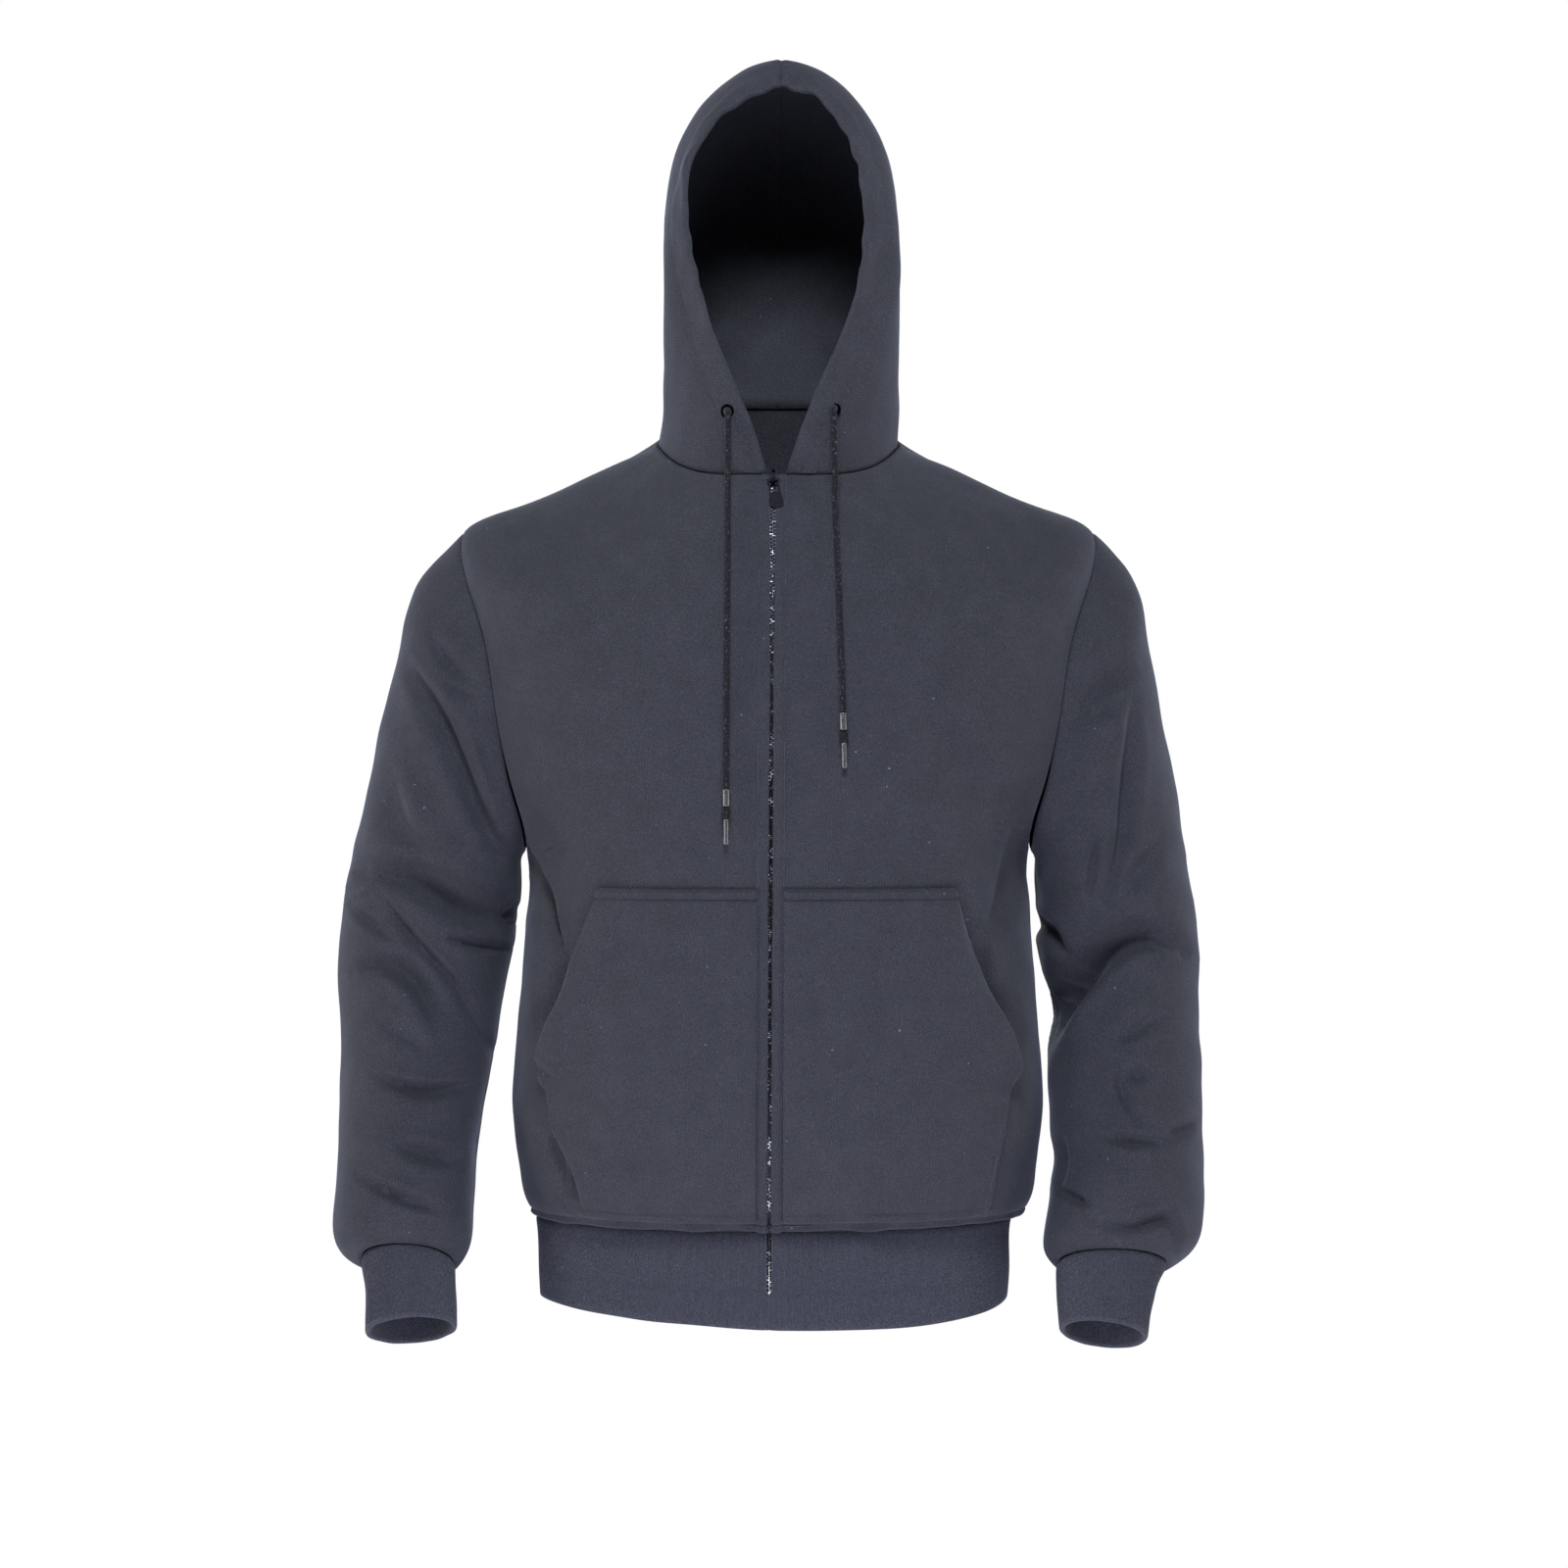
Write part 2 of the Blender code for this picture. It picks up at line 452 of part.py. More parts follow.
def wall(name, face, inner, material, ring=False, gap=SEAM_GAP):
    """Closed wall between a grid of face points and the same grid moved inward, with its rims."""
    shift = drawn_back(face, ring, gap)
    rows, columns = face.shape[:2]
    points = np.concatenate([(face + shift).reshape(-1, 3), (inner + shift).reshape(-1, 3)])
    deep = rows * columns
    faces = []

    def rim(a, b):
        falling = np.linalg.norm(points[a] - points[b + deep])
        rising = np.linalg.norm(points[b] - points[a + deep])
        if falling < rising:
            faces.extend([(a, b, b + deep), (a, b + deep, a + deep)])
        else:
            faces.extend([(a, b, a + deep), (b, b + deep, a + deep)])

    spans = columns if ring else columns - 1
    for i in range(rows - 1):
        for j in range(spans):
            a, d = i * columns + j, i * columns + (j + 1) % columns
            b, c = a + columns, d + columns
            faces.extend([(a, b, d), (b, c, d)])
            faces.extend([(a + deep, d + deep, b + deep), (b + deep, d + deep, c + deep)])
    for j in range(spans):
        last = (rows - 1) * columns
        rim(j, (j + 1) % columns)
        rim(last + (j + 1) % columns, last + j)
    if not ring:
        for i in range(rows - 1):
            rim((i + 1) * columns, i * columns)
            rim(i * columns + columns - 1, (i + 2) * columns - 1)
    return solid(name, points, faces, material)


def mirrored(points, side):
    return points * (SIDES[side], 1, 1)


# ---- body panels -----------------------------------------------------------------------------
def body_heights():
    turns = np.arange(180 - ARMHOLE_STEP, -1, -ARMHOLE_STEP)
    return np.array([*LOW_ROWS, *armhole(turns)[1], *SHOULDER_ROWS])


def pocket_edge(up):
    table = np.array(POCKET_EDGE)
    return np.interp(up, table[:, 0], table[:, 1])


def front_angles(up):
    """Columns of a front: the zip edge, the pocket's inner edge, across the pocket, to the side."""
    limit = 90 - side_limit(up, front=True)
    inner, edge = angle_at(POCKET_FROM_ZIP, up), pocket_edge(up)
    over_pocket = np.linspace(inner, edge, FRONT_COLUMNS_IN_POCKET + 1, axis=-1)
    to_side = np.linspace(edge, limit, FRONT_COLUMNS_TO_SIDE + 1, axis=-1)
    return np.concatenate([angle_at(ZIP_EDGE, up)[..., None], over_pocket, to_side[..., 1:]], -1)


def body_points(side, angles, up):
    """Points and outward normals of the body at signed angles, the side's sign taken last."""
    sign = SIDES[side]
    points = torso(angles * sign, up)
    normals = outward(torso, angles * sign, up, NUDGES)
    return points, normals


def front(side, material):
    heights = body_heights()
    angles = front_angles(heights)
    points, normals = body_points(side, angles, heights[:, None])
    points = sunk("front_" + side, points, normals)
    wall("front_" + side, points, points - normals * CLOTH, material)
    return points, normals


def back(material):
    heights = body_heights()
    limit = 90 + side_limit(heights, front=False)
    angles = np.linspace(limit, 360 - limit, BACK_COLUMNS, axis=-1)
    points, normals = body_points("left", angles, heights[:, None])
    points = sunk("back", points, normals)
    wall("back", points, points - normals * CLOTH, material)


def pocket(side, panel, normals, material):
    """Pocket read from the front's own points, moved out: sewn round, open on the slanted edge."""
    heights = list(body_heights())
    rows = [int(np.argmin(np.abs(np.array(heights) - up))) for up in POCKET_ROWS]
    columns = slice(1, FRONT_COLUMNS_IN_POCKET + 2)
    base, lift = panel[rows, columns], normals[rows, columns]
    up = (np.array(POCKET_ROWS) - POCKET_ROWS[0]) / (POCKET_ROWS[-1] - POCKET_ROWS[0])
    across = np.linspace(0, 1, FRONT_COLUMNS_IN_POCKET + 1)
    opened = (np.array(POCKET_ROWS) > POCKET_OPENS_AT).astype(float)[:, None]
    sewn_side = 1 - (1 - opened) * smooth((across - POCKET_SEWN_FROM) / (1 - POCKET_SEWN_FROM))
    rise = np.sin(np.pi * up)[:, None] ** POCKET_FULL_UP * across**POCKET_FULL_ACROSS
    room = POCKET_ROOM * rise * sewn_side
    inner = base + lift * (SEAM_GAP + room)[..., None]
    wall("pocket_" + side, inner + lift * CLOTH, inner, material)


# ---- sleeves, cuffs, hem, hood ---------------------------------------------------------------
def sleeve_normals(side, turns, downs):
    """Own normals, turned to the body's along the armhole except under the arm."""
    own = outward(lambda turn, down: sleeve(side, turn, down), turns, downs, SLEEVE_NUDGES)
    angles, heights = armhole(turns[0])
    body = outward(torso, angles, heights, NUDGES)
    from_top = np.minimum(turns[0], 360 - turns[0])
    share = smooth((UNDER_ARM_TO - from_top) / (UNDER_ARM_TO - UNDER_ARM_FROM))[:, None]
    start = own[0] * (1 - share) + body * share
    own[0] = start / np.linalg.norm(start, axis=-1, keepdims=True)
    return own


def make_sleeve(side, material):
    turns, downs = np.meshgrid(np.arange(AROUND) * ARMHOLE_STEP, SLEEVE_ROWS)
    turns = turns.astype(float)
    points = mirrored(sleeve(side, turns, downs), side)
    normals = mirrored(sleeve_normals(side, turns, downs), side)
    points = sunk("sleeve_" + side, points, normals)
    wall("sleeve_" + side, points, points - normals * CLOTH, material, ring=True, gap=ARMHOLE_GAP)


def make_cuff(side, material):
    turns, downs = np.meshgrid(np.arange(AROUND) * float(ARMHOLE_STEP), CUFF_ROWS)
    points = mirrored(cuff(side, turns, downs), side)
    normals = outward(lambda turn, down: cuff(side, turn, down), turns, downs, SLEEVE_NUDGES)
    normals = mirrored(normals, side)
    wall("cuff_" + side, points, points - normals * RIB_CLOTH, material, ring=True)


def hem_angle(distance, down):
    half = columns_of(HEM_BAND, down)[0]
    return np.degrees(np.arcsin((distance / half) ** (HEM_FULLNESS / 2)))


def make_hem(material):
    downs = np.array(HEM_ROWS)
    beside_chain = downs < CHAIN_ENDS_AT + BAND_CLOSES_BY
    edge = hem_angle(np.where(beside_chain, ZIP_EDGE, SEAM_GAP), downs)
    angles = np.linspace(edge, 360 - edge, HEM_COLUMNS + 1, axis=-1)
    points = hem_band(angles, downs[:, None])
    normals = -outward(hem_band, angles, downs[:, None], HEM_NUDGES)
    wall("hem_rib", points, points - normals * RIB_CLOTH, material)


def neck_line(side, angles):
    """Places on the straight runs between the body panels' own points round the neck."""
    front_part = front_angles(np.array([NECK]))[0]
    corners = np.array([0, *front_part, *np.linspace(90, 180, BACK_COLUMNS // 2 + 1)[1:]])
    places = mirrored(torso(corners * SIDES[side], NECK), side)
    return np.stack([np.interp(angles, corners, places[:, axis]) for axis in range(3)], -1)


def make_hood(side, material):
    arches, steps = np.meshgrid(HOOD_ARCHES, np.linspace(0, 1, HOOD_STEPS), indexing="ij")
    points = hood(side, arches, steps)
    table = [FACE_EDGE[side]] + HOOD
    marks = [row[0] for row in table] + [1.0]
    feet = [row[1] for row in table] + [NECK_AT_BACK[0]]
    points[:, 0] = neck_line(side, np.interp(HOOD_ARCHES, marks, feet))
    back_marks = np.linspace(0, 1, len(NECK_AT_BACK))
    points[-1] = neck_line(side, np.interp(steps[-1], back_marks, NECK_AT_BACK))
    normals = outward(lambda a, b: hood(side, a, b), arches, steps, (HOOD_NUDGE, HOOD_NUDGE))
    normals[:, -1, 0] = 0
    for foot in (np.s_[:, 0], np.s_[-1, :]):        # level and outward all round the neck
        normals[foot] = (points[foot] - NECK_CENTRE) * (1, 1, 0)
    normals /= np.linalg.norm(normals, axis=-1, keepdims=True)
    thick = np.full(arches.shape, CLOTH)
    thick[:CHANNEL_ARCHES] = CHANNEL_CLOTH
    inner = points - normals * thick[..., None]
    on_seam = smooth(1 - steps / HOOD_FOOT) + (arches == 1.0)
    middle = np.array((HOOD_MIDDLE, 0, 0)) * (1 - np.clip(on_seam, 0, 1))[..., None]
    wall("hood_" + side, mirrored(points, side) + middle, mirrored(inner, side) + middle, material)


# ---- zip -------------------------------------------------------------------------------------
def zip_line(distance, heights, behind):
    """Line down a front at this distance from the zip, then down the hem band to the chain's end."""
    on_body = torso(angle_at(abs(distance), heights) * np.sign(distance), heights)
    downs = np.array([*HEM_ROWS[1:3], CHAIN_ENDS_AT])
    on_band = hem_band(hem_angle(abs(distance), downs) * np.sign(distance), downs)
    on_body[..., 1] += behind
    on_band[..., 1] += behind + RIB_CLOTH - CLOTH
    settle = RIB_CLOTH - CLOTH + TAPE_CLOTH         # clears the thicker band before the seam
    on_body[..., 1] += settle * smooth(1 - heights / SETTLE_OVER)
    return np.concatenate([on_band[::-1], on_body])


def make_tape(side, material):
    heights = body_heights()
    sign = SIDES[side]
    places = [TAPE_IN, (TAPE_IN + TAPE_OUT) / 2, TAPE_OUT]
    lines = [zip_line(sign * place, heights, TAPE_BEHIND) for place in places]
    face = np.stack(lines, 1)
    wall("zip_tape_" + side, face, face + (0, TAPE_CLOTH, 0), material)


def make_chain(material):
    heights = body_heights()
    heights = np.append(heights[:-1], NECK - CHAIN_BELOW_NECK)
    lines = [zip_line(place, heights, CHAIN_BEHIND) for place in (-CHAIN_HALF, CHAIN_HALF)]
    face = np.stack(lines, 1)
    wall("zip_chain", face, face + (0, CHAIN_DEEP, 0), material)


def prism(name, outline, hole, ends, place, material):
    """Flat or bar-like piece: an outline, with a hole or none, run between two ends by place()."""
    shape = bmesh.new()
    levels = [[], []]
    for loop in [outline] + ([hole] if hole else []):
        rings = [[shape.verts.new(place(a, b, end)) for a, b in loop] for end in ends]
        for i in range(len(loop)):
            j = (i + 1) % len(loop)
            shape.faces.new([rings[0][i], rings[0][j], rings[1][j], rings[1][i]])
        for level, ring in zip(levels, rings):
            level.append(ring)
    for level in levels:
        if hole:
            edges = [edge for ring in level for edge in loop_edges(ring)]
            bmesh.ops.triangle_fill(shape, use_beauty=True, edges=edges)
        else:
            shape.faces.new(level[0])
    bmesh.ops.recalc_face_normals(shape, faces=shape.faces)
    mesh = bpy.data.meshes.new(name)
    shape.to_mesh(mesh)
    shape.free()
    mesh.materials.append(material)
    made = bpy.data.objects.new(name, mesh)
    bpy.context.scene.collection.objects.link(made)
    return made


def loop_edges(verts):
    pairs = zip(verts, verts[1:] + verts[:1])
    return [next(edge for edge in a.link_edges if edge.other_vert(a) == b) for a, b in pairs]


def flat_on_cloth(across, up, off):
    return across, -off, up


def bar_across(off, up, across):
    return across, -off, up


def rounded(points, radius, steps=4):
    """Outline with each corner cut to a short arc."""
    points = [np.array(point, float) for point in points]
    outline = []
    for i, corner in enumerate(points):
        before, after = points[i - 1] - corner, points[(i + 1) % len(points)] - corner
        before, after = before / np.linalg.norm(before), after / np.linalg.norm(after)
        start, end = corner + before * radius, corner + after * radius
        for t in np.linspace(0, 1, steps):
            outline.append(tuple((1 - t) ** 2 * start + 2 * t * (1 - t) * corner + t**2 * end))
    return outline


def joined(base, extra):
    extra.hide_render = True
    extra.display_type = "WIRE"
    union = base.modifiers.new("join " + extra.name, "BOOLEAN")
    union.operation = "UNION"
    union.object = extra


def slider_frame():
    """Point on the zip line at the slider's middle, and the tilt of the front there."""
    heights = np.linspace(SHOULDER_TIP, NECK, ZIP_LINE_PLACES)
    line = torso(0.0, heights)
    at = int(np.argmin(np.abs(line[:, 2] - SLIDER_HEIGHT)))
    run = line[at + SLIDER_REACH] - line[at - SLIDER_REACH]
    return line[at], math.atan2(run[1], run[2])


def make_slider(material):
    centre, tilt = slider_frame()
    plate = rounded([(-0.0040, -0.0065), (0.0040, -0.0065), (0.0055, 0.0015), (0.0050, 0.0065),
                     (-0.0050, 0.0065), (-0.0055, 0.0015)], 0.0014)
    post = rounded([(-0.0020, 0.0036), (0.0020, 0.0036), (0.0020, 0.0062), (-0.0020, 0.0062)], 0.0006)
    bridge = [(0.0012, -0.0056), (0.0042, -0.0056), (0.0053, -0.0044), (0.0057, -0.0020),
              (0.0057, 0.0020), (0.0053, 0.0044), (0.0042, 0.0056), (0.0012, 0.0056),
              (0.0012, 0.0045), (0.0038, 0.0044), (0.0046, 0.0032), (0.0046, -0.0032),
              (0.0038, -0.0044), (0.0012, -0.0045)]
    front_plate = prism("zip_slider", plate, None, (0.0003, 0.0019), flat_on_cloth, material)
    back_plate = prism("slider_back", plate, None, (-0.0056, -0.0044), flat_on_cloth, material)
    middle = prism("slider_post", post, None, (-0.0050, 0.0010), flat_on_cloth, material)
    arch = prism("slider_bridge", bridge, None, (-0.0012, 0.0012), bar_across, material)
    for extra in (middle, back_plate, arch):
        joined(front_plate, extra)
    for piece in (front_plate, back_plate, middle, arch):
        piece.location = centre
        piece.rotation_euler = (-tilt, 0, 0)


def make_pull_tab(material):
    """Tab hung on the slider's bridge, leaning on the front, its lower end off to one side."""
    centre, tilt = slider_frame()
    outline = [(-0.0040, 0.00065), (0.0040, 0.00065), (0.0040, -0.0095), (0.0054, -0.0170),
               (0.0048, -0.0205), (0.0028, -0.0223), (-0.0028, -0.0223), (-0.0048, -0.0205),
               (-0.0054, -0.0170), (-0.0040, -0.0095)]
    slot = [(-0.0029, -0.00065), (0.0029, -0.00065), (0.0029, -0.0096), (-0.0029, -0.0096)]
    turn = math.radians(TAB_ASKEW)

    def askew(points):
        return [(x * math.cos(turn) - up * math.sin(turn), x * math.sin(turn) + up * math.cos(turn))
                for x, up in points]

    half = TAB_THICK / 2
    tab = prism("zip_pull_tab", askew(outline), askew(slot), (-half, half), flat_on_cloth, material)
    off, up = TAB_PIVOT
    tab.location = (centre[0], centre[1] - off * math.cos(tilt) + up * math.sin(tilt),
                    centre[2] + off * math.sin(tilt) + up * math.cos(tilt))
    tab.rotation_euler = (math.radians(TAB_LEAN) - tilt, 0, 0)


# ---- cord and its fittings -------------------------------------------------------------------
def turned(name, profile, top, bottom, material, closed=False, sides=16):
    """Solid turned about the line from top to bottom; a closed profile makes a ring."""
    top, bottom = np.array(top, float), np.array(bottom, float)
    axis = (bottom - top) / np.linalg.norm(bottom - top)
    first = np.cross(axis, (0.0, 1.0, 0.3))
    first /= np.linalg.norm(first)
    second = np.cross(axis, first)
    angles = np.arange(sides) * 2 * math.pi / sides
    spokes = np.cos(angles)[:, None] * first + np.sin(angles)[:, None] * second
    points = np.concatenate([top + axis * along + spokes * radius for radius, along in profile])
    count = len(profile)
    faces = []
    for i in range(count if closed else count - 1):
        for j in range(sides):
            k, after = (j + 1) % sides, (i + 1) % count
            faces.append((i * sides + j, i * sides + k, after * sides + k, after * sides + j))
    if not closed:
        faces += [tuple(range(sides)), tuple((count - 1) * sides + j for j in range(sides))]
    return solid(name, points, faces, material)


def make_eyelet(side, material):
    """Flat metal ring on the channel, laid on the hood's own facet."""
    low_step = 1 / (HOOD_STEPS - 1)
    arches, steps = np.meshgrid(HOOD_ARCHES[:2], (low_step, 2 * low_step), indexing="ij")
    corners = hood(side, arches, steps)
    down, over = corners[1, 0] - corners[1, 1], corners[0, 1] - corners[1, 1]
    centre = corners[1, 1] + over * (1 - EYELET_ACROSS[side]) + down * EYELET_DOWN
    centre = mirrored(centre, side) + (HOOD_MIDDLE, 0, 0)
    normal = np.cross(down, over)
    normal = mirrored(normal * -np.sign(normal[1]) / np.linalg.norm(normal), side)
    ring = [(EYELET_BORE, 0.0), (EYELET_RADIUS, 0.0),
            (EYELET_RADIUS - EYELET_CHAMFER, EYELET_THICK), (EYELET_BORE + EYELET_CHAMFER, EYELET_THICK)]
    seat = centre + normal * EYELET_OFF
    turned("eyelet_" + side, ring, seat, seat + normal, material, closed=True, sides=20)


def cord_points(route):
    """Even places along a smooth curve through the route, closer where it leaves the eyelet."""
    route = np.array(route, float)
    marks = np.concatenate([[0], np.cumsum(np.linalg.norm(np.diff(route, axis=0), axis=1))])
    even = np.linspace(CORD_STEP, marks[-1], int(marks[-1] / CORD_STEP))
    return through(marks, route, np.concatenate([CORD_START, even]))


def make_cord(side, material):
    curve = bpy.data.curves.new("drawcord_" + side, "CURVE")
    curve.dimensions = "3D"
    points = cord_points(CORD_ROUTE[side])
    line = curve.splines.new("POLY")
    line.points.add(len(points) - 1)
    for place, point in zip(line.points, points):
        place.co = (*point, 1)
    curve.bevel_depth = CORD
    curve.bevel_resolution = 2
    curve.use_fill_caps = True
    curve.materials.append(material)
    made = bpy.data.objects.new("drawcord_" + side, curve)
    bpy.context.scene.collection.objects.link(made)


def make_cord_end(side, metal, cloth):
    """Metal sleeve, knot and aglet, one below the other on the cord's last stretch."""
    top, bottom = (np.array(place) for place in CORD_END[side])
    length = np.linalg.norm(bottom - top)
    way = (bottom - top) / length
    start = 0.0
    for piece, radius, share, rounding in CORD_FITTINGS:
        tall = share * length - SEAM_GAP
        edge = radius * rounding
        profile = [(radius - edge, 0), (radius, edge), (radius, tall - edge), (radius - edge, tall)]
        place = top + way * start
        paint_here = cloth if piece == "knot" else metal
        turned(f"cord_{side}_{piece}", profile, place, place + way * tall, paint_here)
        start += share * length


# ---- the whole garment -----------------------------------------------------------------------
def make_garment():
    fleece = paint("fleece", (0.045, 0.048, 0.065), 0.0, 0.95)
    ribbing = paint("ribbing", (0.048, 0.052, 0.070), 0.0, 0.95)
    braid = paint("braid", (0.040, 0.043, 0.058), 0.0, 0.85)
    steel = paint("steel", (0.55, 0.55, 0.56), 1.0, 0.30)
    black_metal = paint("black_metal", (0.02, 0.02, 0.02), 0.9, 0.35)
    tape_cloth = paint("tape_cloth", (0.03, 0.032, 0.042), 0.0, 0.90)
    for side in SIDES:
        panel, normals = front(side, fleece)
        pocket(side, panel, normals, fleece)
        make_sleeve(side, fleece)
        make_cuff(side, ribbing)
        make_hood(side, fleece)
        make_tape(side, tape_cloth)
        make_eyelet(side, black_metal)
        make_cord(side, braid)
        make_cord_end(side, steel, braid)
    back(fleece)
    make_hem(ribbing)
    make_chain(steel)
    make_slider(black_metal)
    make_pull_tab(black_metal)


make_garment()
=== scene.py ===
"""Looks of the zip-up hoodie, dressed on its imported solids.

Every panel is a fine shell on the same surfaces as its solid: the tables and the surface
functions are repeated from the part's source. Creases, seams and stitches are laid on them in
metres, with the front view's x and z for the creases. Metres, +Z up, the front faces -Y.
"""
import math

import bmesh
import bpy
import numpy as np
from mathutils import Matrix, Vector


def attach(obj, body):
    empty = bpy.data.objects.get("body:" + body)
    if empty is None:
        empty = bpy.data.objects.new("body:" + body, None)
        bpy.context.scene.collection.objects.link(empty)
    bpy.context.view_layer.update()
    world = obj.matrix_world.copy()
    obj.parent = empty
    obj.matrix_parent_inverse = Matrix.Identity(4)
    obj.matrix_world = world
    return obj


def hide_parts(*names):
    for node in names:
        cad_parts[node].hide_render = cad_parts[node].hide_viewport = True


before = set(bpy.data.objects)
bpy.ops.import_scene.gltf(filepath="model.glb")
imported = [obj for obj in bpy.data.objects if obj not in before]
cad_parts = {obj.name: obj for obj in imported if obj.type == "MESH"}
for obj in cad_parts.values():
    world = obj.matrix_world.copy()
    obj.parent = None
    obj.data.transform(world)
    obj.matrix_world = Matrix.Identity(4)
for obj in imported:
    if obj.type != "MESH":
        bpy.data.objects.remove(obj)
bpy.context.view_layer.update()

# ---- driving sizes, metres ----
CLOTH = 0.0025              # brushed fleece jersey, one layer
RIB_CLOTH = 0.004           # folded rib of the hem and the cuffs
CHANNEL_CLOTH = 0.005       # face edge of the hood, turned back round the cord
SEAM_GAP = 0.0003
ZIP_EDGE = 0.0029           # front edge from the middle of the zip
TAPE_OUT = 0.013            # tape's far edge from the middle of the zip
TAPE_CLOTH = 0.0007
TAPE_BEHIND = 0.0034        # tape face behind the face of the fronts
SETTLE_OVER = 0.03          # stretch over which the tape comes back to the thicker hem band
POCKET_FROM_ZIP = 0.010
POCKET_ROOM = 0.012         # how far the pocket's open edge stands off the front at its fullest
CHAIN_BEHIND = 0.0003
CHAIN_BELOW_NECK = 0.0045   # the chain stops under the slider's post
CORD = 0.0024               # drawcord radius

SIDES = {"left": 1, "right": -1}

# ---- torso rings ----
# distance up the panel | side: half width, y, z | centre front: y, z | centre back: y, z | fullness
RINGS = [
    (0.000, 0.186, -0.004, -0.592, -0.121, -0.5925, 0.109, -0.587, 2.25),
    (0.010, 0.193, -0.004, -0.582, -0.1300, -0.584, 0.116, -0.577, 2.25),
    (0.030, 0.198, -0.004, -0.561, -0.138, -0.563, 0.121, -0.556, 2.25),
    (0.080, 0.2040, -0.003, -0.511, -0.145, -0.511, 0.121, -0.508, 2.28),
    (0.140, 0.2005, -0.002, -0.450, -0.144, -0.450, 0.115, -0.448, 2.30),
    (0.210, 0.1955, 0.000, -0.380, -0.141, -0.380, 0.113, -0.378, 2.32),
    (0.278, 0.1940, 0.002, -0.312, -0.140, -0.312, 0.119, -0.312, 2.34),
    (0.340, 0.2140, 0.004, -0.262, -0.1415, -0.265, 0.123, -0.262, 2.34),
    (0.400, 0.2310, 0.007, -0.197, -0.141, -0.220, 0.124, -0.210, 2.32),
    (0.460, 0.2400, 0.010, -0.125, -0.137, -0.176, 0.121, -0.158, 2.30),
    (0.520, 0.2425, 0.012, -0.0655, -0.130, -0.135, 0.115, -0.108, 2.28),
    (0.560, 0.2060, 0.012, -0.0480, -0.1235, -0.109, 0.108, -0.072, 2.22),
    (0.600, 0.1690, 0.011, -0.0335, -0.1155, -0.083, 0.099, -0.036, 2.16),
    (0.640, 0.1310, 0.008, -0.0160, -0.1055, -0.058, 0.088, 0.001, 2.10),
    (0.680, 0.0925, 0.002, -0.0015, -0.0940, -0.030, 0.075, 0.037, 2.05),
]
ARMPIT, SHOULDER_TIP, NECK = 0.278, 0.520, 0.680
ARMHOLE_FRONT, ARMHOLE_BACK = 23.0, 22.0      # degrees the armhole reaches round the body
ZIP_LEAN_HEM, ZIP_LEAN_RISE = -0.0065, 0.0045

LINE_SHARPNESS = 8          # how quickly the zip's lean dies out round the front
NUDGES = (0.5, 0.0005)      # degrees and metres, for normals of the body surface

# distance up the panel | angle of the pocket's outer edge
POCKET_EDGE = [(0.0, 52.0), (0.030, 52.3), (0.085, 54.5), (0.112, 56.5), (0.140, 53.5),
               (0.170, 49.3), (0.210, 44.1), (0.250, 39.0), (NECK, 39.0)]
POCKET_LOW, POCKET_HIGH = 0.010, 0.250      # distances up the panel
POCKET_OPENS_AT = 0.105     # the edge is sewn down below this height
POCKET_SEWN_FROM = 0.55     # share of the width from which the sewn edge draws in
POCKET_FULL_UP, POCKET_FULL_ACROSS = 0.7, 1.3       # how blunt the room's rise is, up and across

